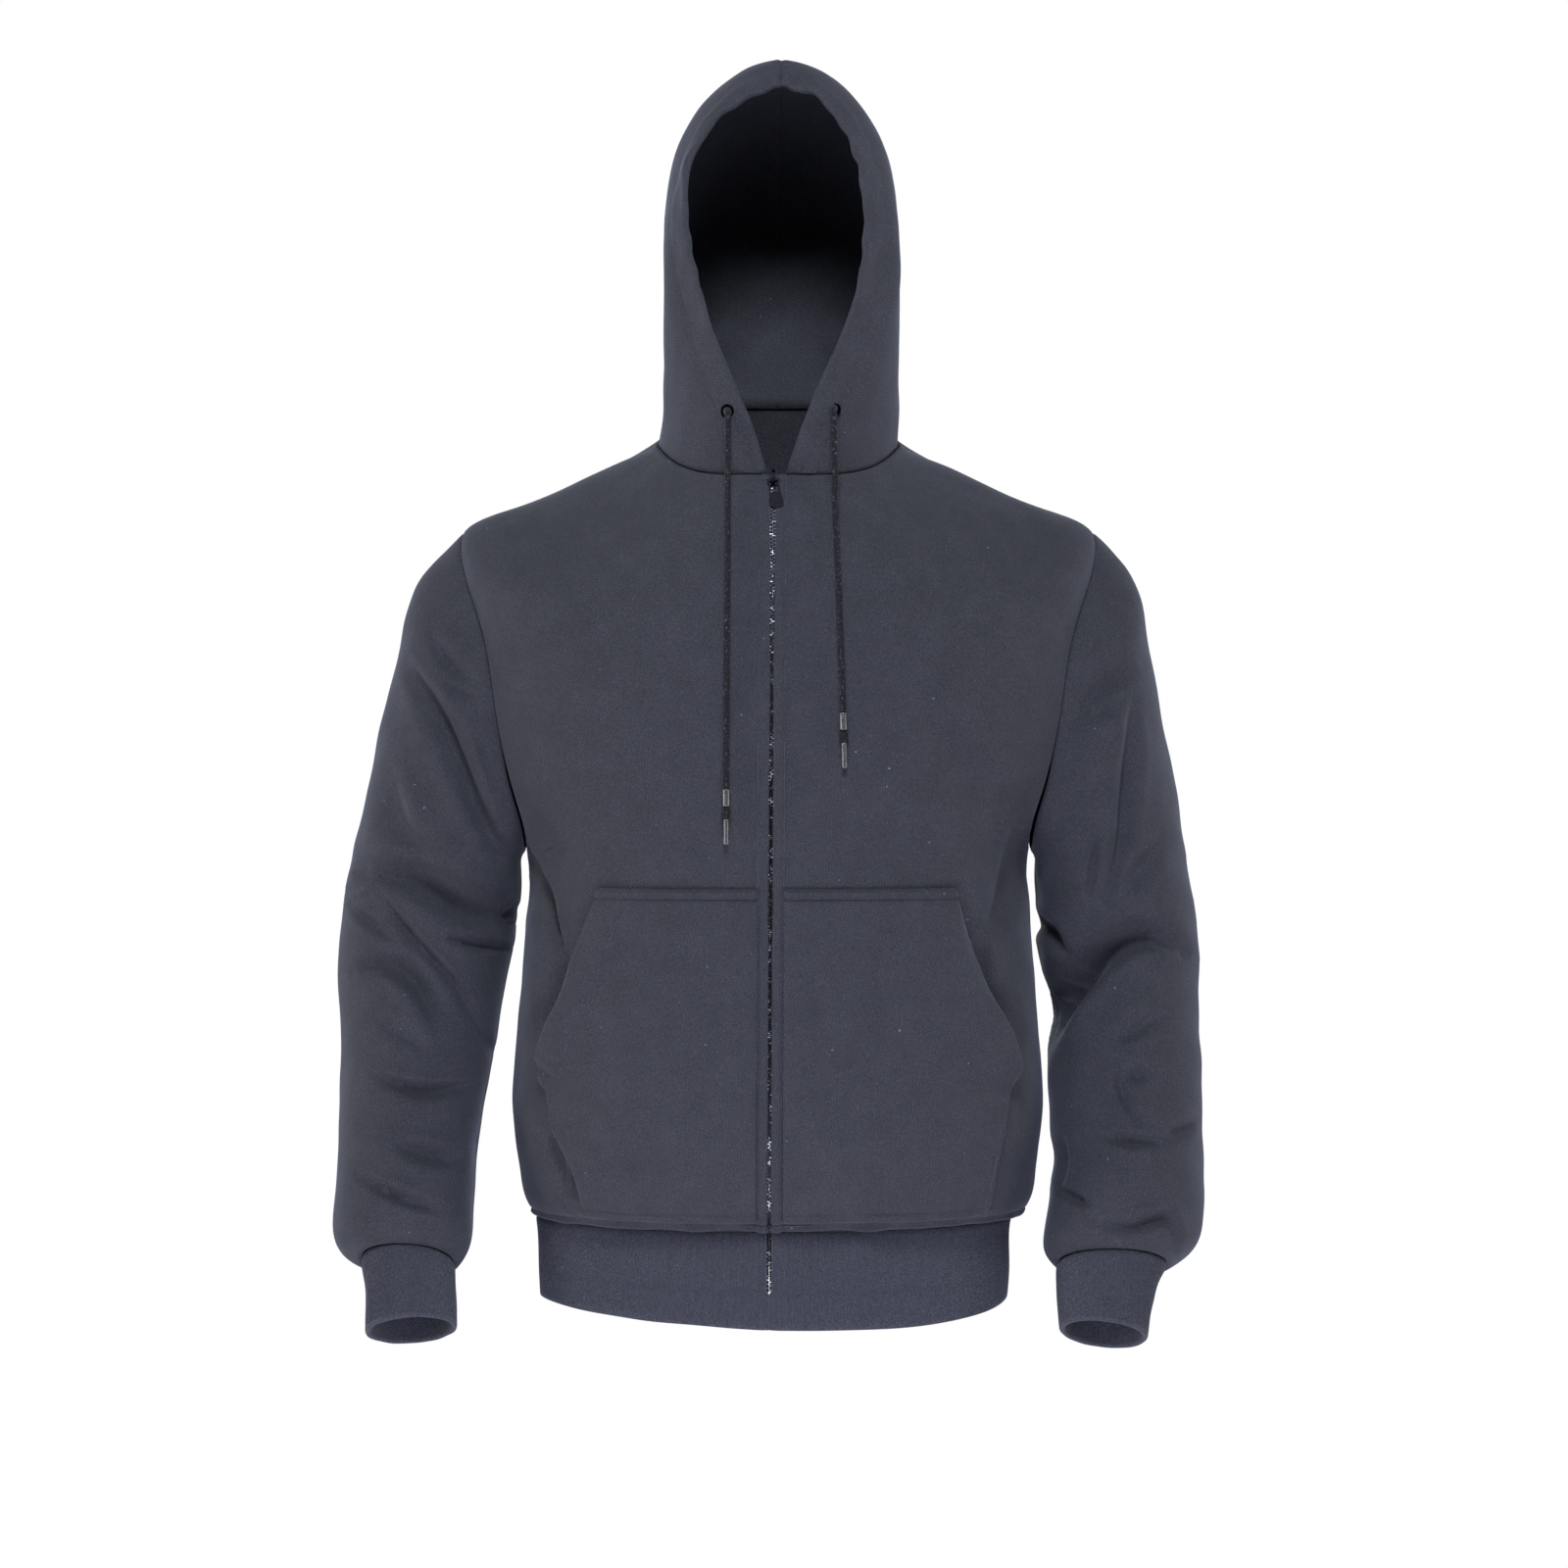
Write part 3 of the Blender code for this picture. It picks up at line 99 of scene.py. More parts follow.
# ---- sleeves: half as tables down the outer line ----
# distance down | outer line: x, z | inner line: x, z | middle y, half depth
SLEEVES = {
    "left": [
        (0.000, 0.2425, -0.0655, 0.1940, -0.3120, 0.005, 0.061),
        (0.023, 0.2590, -0.0800, 0.1970, -0.3155, 0.006, 0.066),
        (0.050, 0.2745, -0.1030, 0.1990, -0.3200, 0.008, 0.070),
        (0.090, 0.2855, -0.1430, 0.1995, -0.3270, 0.011, 0.073),
        (0.150, 0.2965, -0.2020, 0.2000, -0.3410, 0.016, 0.075),
        (0.210, 0.3080, -0.2610, 0.2005, -0.3600, 0.021, 0.0745),
        (0.270, 0.3180, -0.3200, 0.2010, -0.3840, 0.025, 0.073),
        (0.330, 0.3260, -0.3790, 0.2060, -0.4140, 0.024, 0.070),
        (0.390, 0.3270, -0.4390, 0.2090, -0.4520, 0.014, 0.067),
        (0.450, 0.3260, -0.4970, 0.2090, -0.5000, -0.004, 0.063),
        (0.510, 0.3250, -0.5530, 0.2085, -0.5500, -0.028, 0.060),
        (0.550, 0.3220, -0.5920, 0.2040, -0.5880, -0.046, 0.057),
        (0.575, 0.3130, -0.6160, 0.2020, -0.6130, -0.056, 0.052),
        (0.592, 0.2940, -0.6265, 0.2105, -0.6240, -0.0605, 0.0445),
    ],
    "right": [
        (0.000, 0.2425, -0.0655, 0.1940, -0.3120, 0.005, 0.061),
        (0.023, 0.2570, -0.0800, 0.1970, -0.3155, 0.006, 0.066),
        (0.050, 0.2770, -0.1030, 0.1990, -0.3200, 0.008, 0.070),
        (0.090, 0.2900, -0.1430, 0.1995, -0.3270, 0.011, 0.073),
        (0.150, 0.3060, -0.2020, 0.2000, -0.3410, 0.016, 0.075),
        (0.210, 0.3180, -0.2610, 0.2015, -0.3600, 0.021, 0.0745),
        (0.270, 0.3330, -0.3200, 0.2050, -0.3840, 0.025, 0.073),
        (0.330, 0.3410, -0.3790, 0.2110, -0.4140, 0.024, 0.070),
        (0.390, 0.3400, -0.4390, 0.2180, -0.4520, 0.014, 0.067),
        (0.450, 0.3370, -0.4970, 0.2260, -0.5000, -0.004, 0.063),
        (0.510, 0.3370, -0.5530, 0.2310, -0.5500, -0.028, 0.060),
        (0.550, 0.3370, -0.5920, 0.2320, -0.5880, -0.046, 0.057),
        (0.575, 0.3310, -0.6140, 0.2350, -0.6130, -0.056, 0.052),
        (0.592, 0.3150, -0.6225, 0.2440, -0.6240, -0.0605, 0.0445),
    ],
}
CUFF_JOIN = 0.592
CAP_EASE = 0.12             # how far down the sleeve the armhole's oval dies out
SLEEVE_FULLNESS = 2.15
SLEEVE_NUDGES = (1.0, 0.001)
TILT_STEP, LEAST_DROP = 0.005, 0.002        # stretch that a section's tilt is read over
UNDER_ARM_FROM, UNDER_ARM_TO = 80, 130      # turn over which the cap gives way to the underarm

# distance down | outer line: x, z | inner line: x, z | middle y, half depth
CUFFS = {
    "left": [
        (0.000, 0.2930, -0.6268, 0.2108, -0.6243, -0.0605, 0.0440),
        (0.010, 0.2885, -0.6340, 0.2100, -0.6300, -0.0640, 0.0435),
        (0.035, 0.2820, -0.6540, 0.2100, -0.6470, -0.0715, 0.0400),
        (0.060, 0.2775, -0.6770, 0.2115, -0.6690, -0.0790, 0.0370),
    ],
    "right": [
        (0.000, 0.3140, -0.6228, 0.2443, -0.6243, -0.0605, 0.0440),
        (0.010, 0.3125, -0.6310, 0.2440, -0.6300, -0.0640, 0.0435),
        (0.035, 0.3105, -0.6520, 0.2425, -0.6450, -0.0715, 0.0400),
        (0.060, 0.3100, -0.6730, 0.2410, -0.6670, -0.0790, 0.0370),
    ],
}
CUFF_TILT = math.radians(24)
CUFF_LENGTH = 0.060
CUFF_EASE = 0.025           # how far down the cuff the sleeve's ring dies out

# ---- hem band ----
# share of the way down | half width, side z | centre front: y, z | centre back: y, z
HEM_BAND = [
    (0.00, 0.1835, -0.5923, -0.1207, -0.5928, 0.1078, -0.5873),
    (0.15, 0.1820, -0.6010, -0.1215, -0.6030, 0.1080, -0.5960),
    (0.60, 0.1812, -0.6300, -0.1210, -0.6370, 0.1080, -0.6250),
    (1.00, 0.1800, -0.6530, -0.1180, -0.6650, 0.1065, -0.6460),
]
HEM_FULLNESS = 2.25
HEM_MIDDLE = (-0.0035, -0.004)
HEM_LIFT = 0.012            # the wearer's right front corner rides up
CHAIN_ENDS_AT = 0.60        # below this share the two ends of the band meet
ZIP_STOPS = (0.15, 0.38, CHAIN_ENDS_AT)     # shares down the band that the zip line runs through
BAND_CLOSES_BY = 0.05       # share further down by which they have come together
HEM_NUDGES = (0.5, 0.01)

# ---- hood ----
# arch | angle of its foot on the neck ring | four points up the side | top point
HOOD = [
    (0.10, 18, (0.0555, -0.0920, 0.034), (0.0800, -0.0840, 0.104), (0.0820, -0.0760, 0.168),
     (0.0610, -0.0640, 0.238), (0, -0.0500, 0.2830)),
    (0.25, 40, (0.0790, -0.0690, 0.040), (0.0885, -0.0600, 0.106), (0.0880, -0.0500, 0.174),
     (0.0670, -0.0360, 0.247), (0, -0.0180, 0.2945)),
    (0.40, 62, (0.0885, -0.0360, 0.046), (0.0898, -0.0270, 0.110), (0.0888, -0.0160, 0.178),
     (0.0668, -0.0020, 0.250), (0, 0.0220, 0.2975)),
    (0.55, 80, (0.0905, 0.0020, 0.046), (0.0898, 0.0140, 0.106), (0.0875, 0.0280, 0.172),
     (0.0645, 0.0450, 0.238), (0, 0.0720, 0.2805)),
    (0.70, 95, (0.0905, 0.0360, 0.042), (0.0880, 0.0550, 0.094), (0.0820, 0.0720, 0.150),
     (0.0575, 0.0950, 0.204), (0, 0.1130, 0.2380)),
    (0.82, 105, (0.0888, 0.0480, 0.046), (0.0832, 0.0700, 0.090), (0.0722, 0.0925, 0.133),
     (0.0462, 0.1150, 0.166), (0, 0.1275, 0.1800)),
    (0.92, 113, (0.0800, 0.0550, 0.044), (0.0718, 0.0765, 0.070), (0.0553, 0.0915, 0.092),
     (0.0310, 0.1030, 0.106), (0, 0.1100, 0.1110)),
]
FACE_EDGE = {
    "left": (0.00, 7, (0.0290, -0.1000, 0.033), (0.0560, -0.1005, 0.090), (0.0645, -0.0940, 0.150),
             (0.0530, -0.0810, 0.222), (0, -0.0660, 0.2660)),
    "right": (0.00, 8, (0.0345, -0.1000, 0.030), (0.0630, -0.1000, 0.098), (0.0745, -0.0925, 0.165),
              (0.0630, -0.0800, 0.222), (0, -0.0660, 0.2655)),
}
NECK_AT_BACK = (120, 132, 144, 156, 168, 180)
HOOD_MIDDLE = 0.0025
NECK_CENTRE = (0, -0.008, 0)
HOOD_FOOT = 0.15            # share of the hood's height over which it comes back onto the neck seam

# ---- largest folds ----
FOLD_STEPS = 13             # places along a fold that its distance is measured from
FOLD_TAPER = 0.6            # how blunt a fold's two ends are
FOLD_ENDS = (0.04, 0.96)    # shares along a fold that its ends count as, so none dies out fully
# piece | facing | three points across and up, seen from the front | half width, depth
FOLDS = [
    ("sleeve_right", -1, (-0.316, -0.330), (-0.285, -0.362), (-0.222, -0.372), 0.022, 0.0080),
    ("sleeve_right", -1, (-0.280, -0.210), (-0.250, -0.290), (-0.214, -0.345), 0.020, 0.0060),
    ("sleeve_right", -1, (-0.300, -0.400), (-0.270, -0.405), (-0.240, -0.440), 0.018, 0.0050),
    ("sleeve_right", 1, (-0.320, -0.330), (-0.280, -0.400), (-0.225, -0.420), 0.024, 0.0060),
    ("sleeve_left", -1, (0.300, -0.385), (0.250, -0.392), (0.205, -0.450), 0.022, 0.0075),
    ("sleeve_left", -1, (0.270, -0.300), (0.255, -0.340), (0.245, -0.375), 0.020, 0.0050),
    ("sleeve_left", -1, (0.205, -0.230), (0.240, -0.190), (0.275, -0.165), 0.018, 0.0050),
    ("sleeve_left", 1, (0.310, -0.340), (0.270, -0.400), (0.215, -0.420), 0.024, 0.0060),
    ("front_right", -1, (-0.180, -0.310), (-0.168, -0.345), (-0.158, -0.395), 0.018, 0.0050),
    ("front_left", -1, (0.182, -0.290), (0.170, -0.335), (0.158, -0.385), 0.018, 0.0060),
    ("back", 1, (-0.130, -0.330), (0.000, -0.375), (0.120, -0.335), 0.025, 0.0050),
]

# ---- eyelets and cords ----
EYELET_CELL = (0.0, 0.09), (0.1, 0.2)               # arches and steps of the hood that hold the eyelet
EYELET_ACROSS = {"left": 0.70, "right": 0.65}      # share of the channel's width
EYELET_DOWN = 0.48                                  # share of the cell's height
EYELET_RADIUS, EYELET_BORE, EYELET_THICK = 0.0056, 0.0034, 0.0009
EYELET_OFF = 0.0005
EYELET_ROUND, EYELET_LIFT, EYELET_SUNK, BORE_SUNK = 0.0003, 0.0001, 0.0006, 0.0002
POINT = 0.0001                                      # radius where a turned solid closes
# places down each cord, from its eyelet to the metal sleeve near its end
CORD_ROUTE = {
    "left": [(0.0417, -0.0958, 0.0172), (0.0417, -0.0988, 0.0165), (0.0418, -0.0997, 0.0135),
             (0.0430, -0.1052, -0.0600), (0.0440, -0.1190, -0.0900), (0.0450, -0.1286, -0.1200),
             (0.0462, -0.1372, -0.1600), (0.0475, -0.1418, -0.1950), (0.0478, -0.1425, -0.2087)],
    "right": [(-0.0373, -0.0966, 0.0158), (-0.0373, -0.0993, 0.0152), (-0.0373, -0.1000, 0.0122),
              (-0.0374, -0.1080, -0.0600), (-0.0372, -0.1207, -0.0900), (-0.0372, -0.1296, -0.1200),
              (-0.0374, -0.1380, -0.1600), (-0.0376, -0.1426, -0.2000), (-0.0378, -0.1446, -0.2400),
              (-0.0379, -0.1450, -0.2647)],
}
CORD_END = {
    "left": ((0.0478, -0.1425, -0.2090), (0.0490, -0.1432, -0.2499)),
    "right": ((-0.0379, -0.1450, -0.2650), (-0.0379, -0.1448, -0.3059)),
}
# fitting | radius | share of the cord's end that it takes | edge rounding, share of the radius
CORD_FITTINGS = [("sleeve", 0.0028, 0.32, 0.15), ("knot", 0.0038, 0.22, 0.45),
                 ("aglet", 0.0020, 0.46, 0.15)]

# ---- the scene's own sizes, metres ----
ROW_STEP, COLUMN_STEP, BACK_COLUMN_STEP, POCKET_STEP = 0.0031, 0.0031, 0.0040, 0.0028
HOLE_STEP = 1.5             # degrees round the armhole between rows
INNER_STEP, RIB_INNER_STEP = 3, 2      # outer grid cells to one of the inner face
SLEEVE_COLUMNS, SLEEVE_ROW_STEP, CUFF_ROW_COUNT = 168, 0.0026, 20
HOOD_ARCH_COUNT, HOOD_STEP_COUNT = 92, 118
HOOD_FINE_ARCH, HOOD_FINE_FOOT, HOOD_FINE_TOP = 0.012, 0.02, 0.985      # shares with closer grid lines
HOOD_ARCHES_FINE, HOOD_STEPS_FINE = 4, 5
HEM_TOP_ROWS, HEM_EVEN_FROM, HEM_ROW_COUNT, HEM_FINE = (0, 0.012, 0.03, 0.05, 0.08), 0.12, 16, 4001
FINE, BACK_FINE = 240, 420  # places that a row's columns are spread from
EDGE_MARKS = np.array([0, 0.0006, 0.0013, 0.0021, 0.0031, 0.0044, 0.0060, 0.0078, 0.0100])

# depths of the ditches that seams draw in, and their half width
DITCH, NECK_DITCH, UNDER_ARM_DITCH, CUFF_DITCH, HOOD_DITCH = 0.0014, 0.0005, 0.0008, 0.0012, 0.0013
DITCH_HALF = 0.0020
# band of double cloth by a seam | width, height, groove at its stitches
NECK_BAND = (0.0060, 0.0020, 0.0012)
POCKET_TOP_BAND = (0.0075, 0.0018, 0.0032)
POCKET_MOUTH_BAND = (0.025, 0.0008, 0.0014)
POCKET_SIDE_BAND = (0.0075, 0.0009, 0.0010)
HEM_ROLL, POCKET_ROLL = (0.0070, 0.0017, 0.0024), (0.0060, 0.0017, 0.0024)
BAND_RISES, BAND_FALLS, BAND_GROOVE = (0.0008, 0.0014), (0.0012, 0.0020), 0.0009    # from, over; half width
POCKET_TOP_STITCH, POCKET_SIDE_STITCH = 0.0018, 0.0060      # further rows of stitches, from the edge
ZIP_TOPSTITCH = 0.0068      # from the front's zip edge
ZIP_FOLD, ZIP_FOLD_EDGE, ZIP_GROOVE, ZIP_GROOVE_HALF = 0.0010, 0.0015, 0.0009, 0.0011
POCKET_THIN, POCKET_THIN_RUN = 0.55, 0.004      # how thin the pocket's cloth is at its sewn edges
MOUTH_RUN, MOUTH_EARLY, MOUTH_CLEAR, MOUTH_STITCH = 0.02, 0.006, 0.05, 0.01     # by the pocket's mouth
EDGE_SOFT = (-0.006, 0, 0.006)      # shifts that round the corners of the pocket's edge
CHANNEL_WIDE, CHANNEL_RUN, CHANNEL_ROUND = 0.022, 0.004, 0.0007
CHANNEL_LINE, CHANNEL_LINE_HALF, CHANNEL_LINE_FAINT = 0.0015, 0.0017, 0.15
CHANNEL_LINE_TOP, CHANNEL_LINE_FADE = 0.14, 0.05     # the channel's line sinks into the nap above this
RIPPLE_RUN, RIPPLE_FROM, RIPPLE_OVER, RIPPLE_TOP = 0.014, 0.085, 0.05, 0.01     # of the face edge
EDGE_LIFT, EDGE_LIFT_FROM, EDGE_LIFT_OVER = 0.004, 0.20, 0.05   # how far it draws back at the top
PUCKER_HALF = 0.007         # of the pucker by the hood's centre seam
TUCK, TUCK_RUN = 0.0012, 0.006
RIB_SAMPLES, CUFF_RIBS, HEM_RIBS, RIB_DEEP, RIB_ROUND = 4, 144, 572, 0.0011, 0.7
SLEEVE_GIRTH, CUFF_GIRTH = 0.40, 0.26      # about, for the underarm seam and the cuff's texture
HEM_END_DIP, HEM_END_HALF = 0.0006, 0.004
# unevenness | height, seed and size of its waves: metres, but radians on ribs and a share on the rolls
UNEVEN = {
    "body": [(0.0016, 11, 0.11), (0.0006, 12, 0.035)],
    "sleeve": [(0.0018, 21, 0.09), (0.0008, 22, 0.035)],
    "hood": [(0.0012, 41, 0.07), (0.0005, 42, 0.025)],
    "hem": [(0.0012, 32, 0.07)],
    "cuff": [(0.0007, 33, 0.02)],
    "rib": [(0.25, 31, 0.03)],
    "roll": [(1.1, 51, 0.032)],
    "pucker": [(0.0011, 45, 0.012)],
    "scallop": [(0.0013, 43, 0.020)],
    "ripple": [(0.0065, 44, 0.016)],
}
WAVES, WAVE_SIZES, WAVE_START = 7, (0.7, 1.6), 6.28
DEGREE_LONG = 0.0035        # about how far a degree runs along the body's cloth
# stretch by each seam over which creases and unevenness come up
BODY_CALM, SLEEVE_CALM, HOOD_CALM = (0.03, 0.04, 0.012), (0.035, 0.02), (0.025, 0.012)
CUFF_CALM, HEM_CALM, CUFF_RIBS_END, HEM_RIBS_END = 0.01, 0.012, 0.003, 0.004
SLEEVE_TURN_RUN = 0.02      # down the sleeve, where its normals turn from the body's
# shares of the hood, up from its foot and on from its back seam
FOOT_EASE, BACK_EASE, FOOT_LEVEL, BACK_LEVEL, BACK_MIDDLE = 0.12, 0.08, 0.05, 0.04, 0.03
HOOD_HEART = (0, 0.01, 0.12)        # a point inside the hood

CREASE_GAIN, CREASE_STEPS = 2.0, 40      # times the depths below; places along each line
CREASE_NARROW = 0.65        # half width at a crease's ends, as a share of its middle's
CREASE_BLUNT, CREASE_ENDS = 0.7, (0.03, 0.97)       # how its depth dies out along it
CREASE_TURN = 0.9           # how soon a crease goes as the cloth turns away
CREASE_REACH = 5            # half widths from its line within which a crease counts
STEEPNESS = 0.5             # how much narrower a crease's steep side is
LIP_LOW, LIP_HIGH, LIP_AT, LIP_HALF = 0.12, 0.16, 2.0, 1.0      # ridges beside a crease

STITCH_PITCH, STITCH_LONG, STITCH_THICK, STITCH_LIFT = 0.0031, 0.0023, 0.00032, 0.0001
STITCH_SIDES, STITCH_WIDE = 5, 1.3
STITCH_RINGS = [(-0.5, 0.35, 0.9), (-0.3, 1.0, 0.1), (0.3, 1.0, 0.1), (0.5, 0.35, 0.9)]  # along, radius, sink
TAPE_HIDDEN_EDGE, TAPE_LIFT, TAPE_ROWS, TAPE_COLUMNS = 0.0004, 0.00005, 160, 9
TOOTH_PITCH, TOOTH_TALL, TOOTH_REACH, TOOTH_DEEP = 0.00145, 0.00105, 0.0023, 0.0016
TOOTH_PAST, TOOTH_MIDDLE, TOOTH_TILT, TOOTH_TIP, TOOTH_SEED = 0.00045, 0.55, 0.10, 0.0004, 5
CHAIN_PLACES = 500
TOOTH = [(0.12, 0.30), (0.12, 0.70), (0.32, 1.0), (0.68, 1.0), (0.88, 0.70), (0.88, 0.30)]  # up, proud
BRAID_STEP, BRAID_SIDES, BRAID_LAY, BRAID_REPEAT, CORD_PLACES = 0.0008, 20, 0.0031, 0.0062, 300
BRAID_CORE, BRAID_HIGH, STRANDS = 0.93, 0.09, 4         # shares of the radius; strands each way
KNOT_ROWS, KNOT_SIDES, KNOT_TURNS, KNOT_ROLL, KNOT_BLUNT = 48, 32, 1.6, 0.14, 0.45
KNOT_ENDS = (0.02, 0.98)    # shares that its ends count as, so none closes fully
FITTING_EDGE, FITTING_WAIST, WAIST_AT = 1.6, 0.00012, (0.35, 0.5, 0.65)
TURNED_SIDES, RIM_PLACES, EDGE_PLACES = 48, 9, 5        # of the eyelets and the metal fittings
SHARP_FROM = 40             # degrees between faces from which an edge stays sharp

# by region: facing | half width | depth | steep side, left of its way if above 0 | places across and up
CREASES = {
    "sleeve_right": [
        (-1, .0050, .0030, -.4, (-.265, -.145), (-.250, -.170), (-.220, -.190)),
        (-1, .0035, .0024, -.2, (-.255, -.185), (-.220, -.200)),
        (-1, .0080, .0080, .10, (-.285, -.170), (-.260, -.205), (-.235, -.260), (-.210, -.315)),
        (-1, .0040, .0026, .20, (-.225, -.230), (-.200, -.290)),
        (-1, .0110, .0048, .05, (-.295, -.255), (-.290, -.290), (-.250, -.320)),
        (-1, .0130, .0110, -.55, (-.315, -.330), (-.280, -.335), (-.245, -.355), (-.210, -.370)),
        (-1, .0040, .0030, -.60, (-.255, -.380), (-.210, -.390)),
        (-1, .0035, .0032, .50, (-.305, -.340), (-.280, -.375), (-.245, -.415), (-.220, -.470)),
        (-1, .0040, .0024, -.30, (-.330, -.355), (-.295, -.380)),
        (-1, .0070, .0055, -.50, (-.325, -.405), (-.300, -.400), (-.275, -.415), (-.260, -.445)),
        (-1, .0060, .0018, .00, (-.305, -.440), (-.265, -.460)),
        (-1, .0045, .0042, .55, (-.305, -.480), (-.270, -.490), (-.235, -.490)),
        (-1, .0060, .0046, .40, (-.285, -.530), (-.240, -.545)),
        (-1, .0040, .0040, -.20, (-.315, -.555), (-.280, -.570), (-.250, -.580)),
        (-1, .0035, .0022, .00, (-.210, -.365), (-.200, -.355)),
        (1, .0120, .0070, .2, (-.320, -.320), (-.285, -.345), (-.235, -.360)),
        (1, .0100, .0050, -.2, (-.325, -.375), (-.290, -.400), (-.240, -.425)),
        (1, .0080, .0045, .3, (-.290, -.220), (-.260, -.260), (-.225, -.300)),
        (1, .0060, .0036, .3, (-.320, -.470), (-.280, -.480), (-.245, -.500)),
        (1, .0055, .0034, .1, (-.320, -.560), (-.285, -.570), (-.255, -.580)),
    ],
    "sleeve_left": [
        (-1, .0045, .0046, .2, (.210, -.185), (.240, -.160)),
        (-1, .0065, .0034, .1, (.175, -.250), (.200, -.230), (.230, -.200), (.280, -.170)),
        (-1, .0055, .0030, .3, (.235, -.210), (.260, -.200)),
        (-1, .0060, .0055, .1, (.270, -.200), (.265, -.270), (.260, -.310), (.250, -.350)),
        (-1, .0030, .0026, -.3, (.240, -.305), (.235, -.350)),
        (-1, .0080, .0034, .2, (.290, -.305), (.265, -.345)),
        (-1, .0050, .0060, -.2, (.180, -.350), (.205, -.375), (.220, -.390)),
        (-1, .0095, .0100, .65, (.310, -.390), (.285, -.380), (.255, -.390), (.230, -.415),
         (.210, -.450), (.200, -.480)),
        (-1, .0060, .0028, .2, (.295, -.435), (.255, -.455)),
        (-1, .0035, .0026, .2, (.255, -.470), (.260, -.495), (.275, -.520)),
        (-1, .0060, .0028, .0, (.260, -.480), (.280, -.480)),
        (-1, .0040, .0038, .4, (.245, -.525), (.290, -.530)),
        (-1, .0045, .0030, -.2, (.290, -.525), (.320, -.520)),
        (-1, .0045, .0042, .2, (.215, -.530), (.210, -.565)),
        (-1, .0035, .0036, .3, (.210, -.565), (.235, -.575)),
        (-1, .0050, .0044, .4, (.235, -.585), (.265, -.590), (.290, -.585), (.300, -.610)),
        (1, .0120, .0070, -.2, (.310, -.325), (.275, -.350), (.225, -.370)),
        (1, .0100, .0050, .2, (.310, -.400), (.270, -.415), (.220, -.445)),
        (1, .0080, .0045, .3, (.285, -.215), (.260, -.260), (.225, -.305)),
        (1, .0060, .0036, .1, (.305, -.500), (.270, -.510), (.230, -.520)),
        (1, .0055, .0034, .2, (.300, -.580), (.265, -.590), (.230, -.585)),
    ],
    "front_right": [
        (-1, .0035, .0046, .4, (-.190, -.310), (-.175, -.345), (-.160, -.390)),
        (-1, .0110, .0030, .0, (-.185, -.330), (-.175, -.370)),
        (-1, .0070, .0045, .3, (-.175, -.515), (-.160, -.550), (-.145, -.585)),
        (-1, .0080, .0045, .0, (-.155, -.385), (-.165, -.420), (-.180, -.450)),
        (-1, .0130, .0022, .2, (-.135, -.565), (-.100, -.535), (-.080, -.500)),
        (-1, .0050, .0024, .0, (-.180, -.470), (-.160, -.480)),
    ],
    "front_left": [
        (-1, .0100, .0055, .2, (.185, -.290), (.180, -.320), (.170, -.355), (.155, -.370)),
        (-1, .0040, .0035, .2, (.155, -.370), (.160, -.415)),
        (-1, .0080, .0045, .0, (.135, -.340), (.155, -.410), (.180, -.450)),
        (-1, .0200, .0036, .0, (.115, -.215), (.140, -.255), (.175, -.290)),
    ],
    "back": [
        (1, .0180, .0045, .1, (-.150, -.300), (-.075, -.345), (.000, -.360)),
        (1, .0180, .0042, -.1, (.155, -.305), (.080, -.350), (.010, -.370)),
        (1, .0140, .0034, .0, (-.165, -.420), (-.110, -.455), (-.040, -.470)),
        (1, .0140, .0034, .0, (.160, -.440), (.100, -.470), (.030, -.490)),
        (1, .0160, .0030, .0, (-.120, -.120), (-.150, -.190), (-.165, -.260)),
        (1, .0160, .0030, .0, (.120, -.120), (.150, -.190), (.165, -.260)),
    ],
    "hood_left": [
        (-1, .0100, .0026, .0, (.045, .055), (.070, .100), (.080, .150)),
        (1, .0120, .0036, .0, (.030, .105), (.060, .080), (.080, .060)),
        (-1, .0040, .0018, .0, (.005, .260), (.015, .270), (.025, .275)),
    ],
    "hood_right": [
        (-1, .0100, .0026, .0, (-.050, .050), (-.070, .100), (-.080, .155)),
        (1, .0120, .0036, .0, (-.030, .105), (-.060, .080), (-.080, .060)),
    ],
}

# ---- colours, light and view ----
FLEECE = [(0.34, (0.023, 0.0235, 0.028)), (0.52, (0.036, 0.037, 0.0445)), (0.68, (0.060, 0.061, 0.073))]
RIB = [(0.35, (0.028, 0.029, 0.038)), (0.55, (0.052, 0.053, 0.067)), (0.72, (0.086, 0.088, 0.106))]
BRAID = [(0.42, (0.004, 0.0045, 0.006)), (0.62, (0.012, 0.013, 0.017)), (0.80, (0.10, 0.105, 0.12))]
THREAD = [(0.3, (0.040, 0.042, 0.054)), (0.7, (0.072, 0.075, 0.094))]
TAPE = [(0.3, (0.012, 0.013, 0.018)), (0.7, (0.030, 0.032, 0.042))]
FLOOR = [(0.3, (0.80,) * 3), (0.7, (0.84,) * 3)]
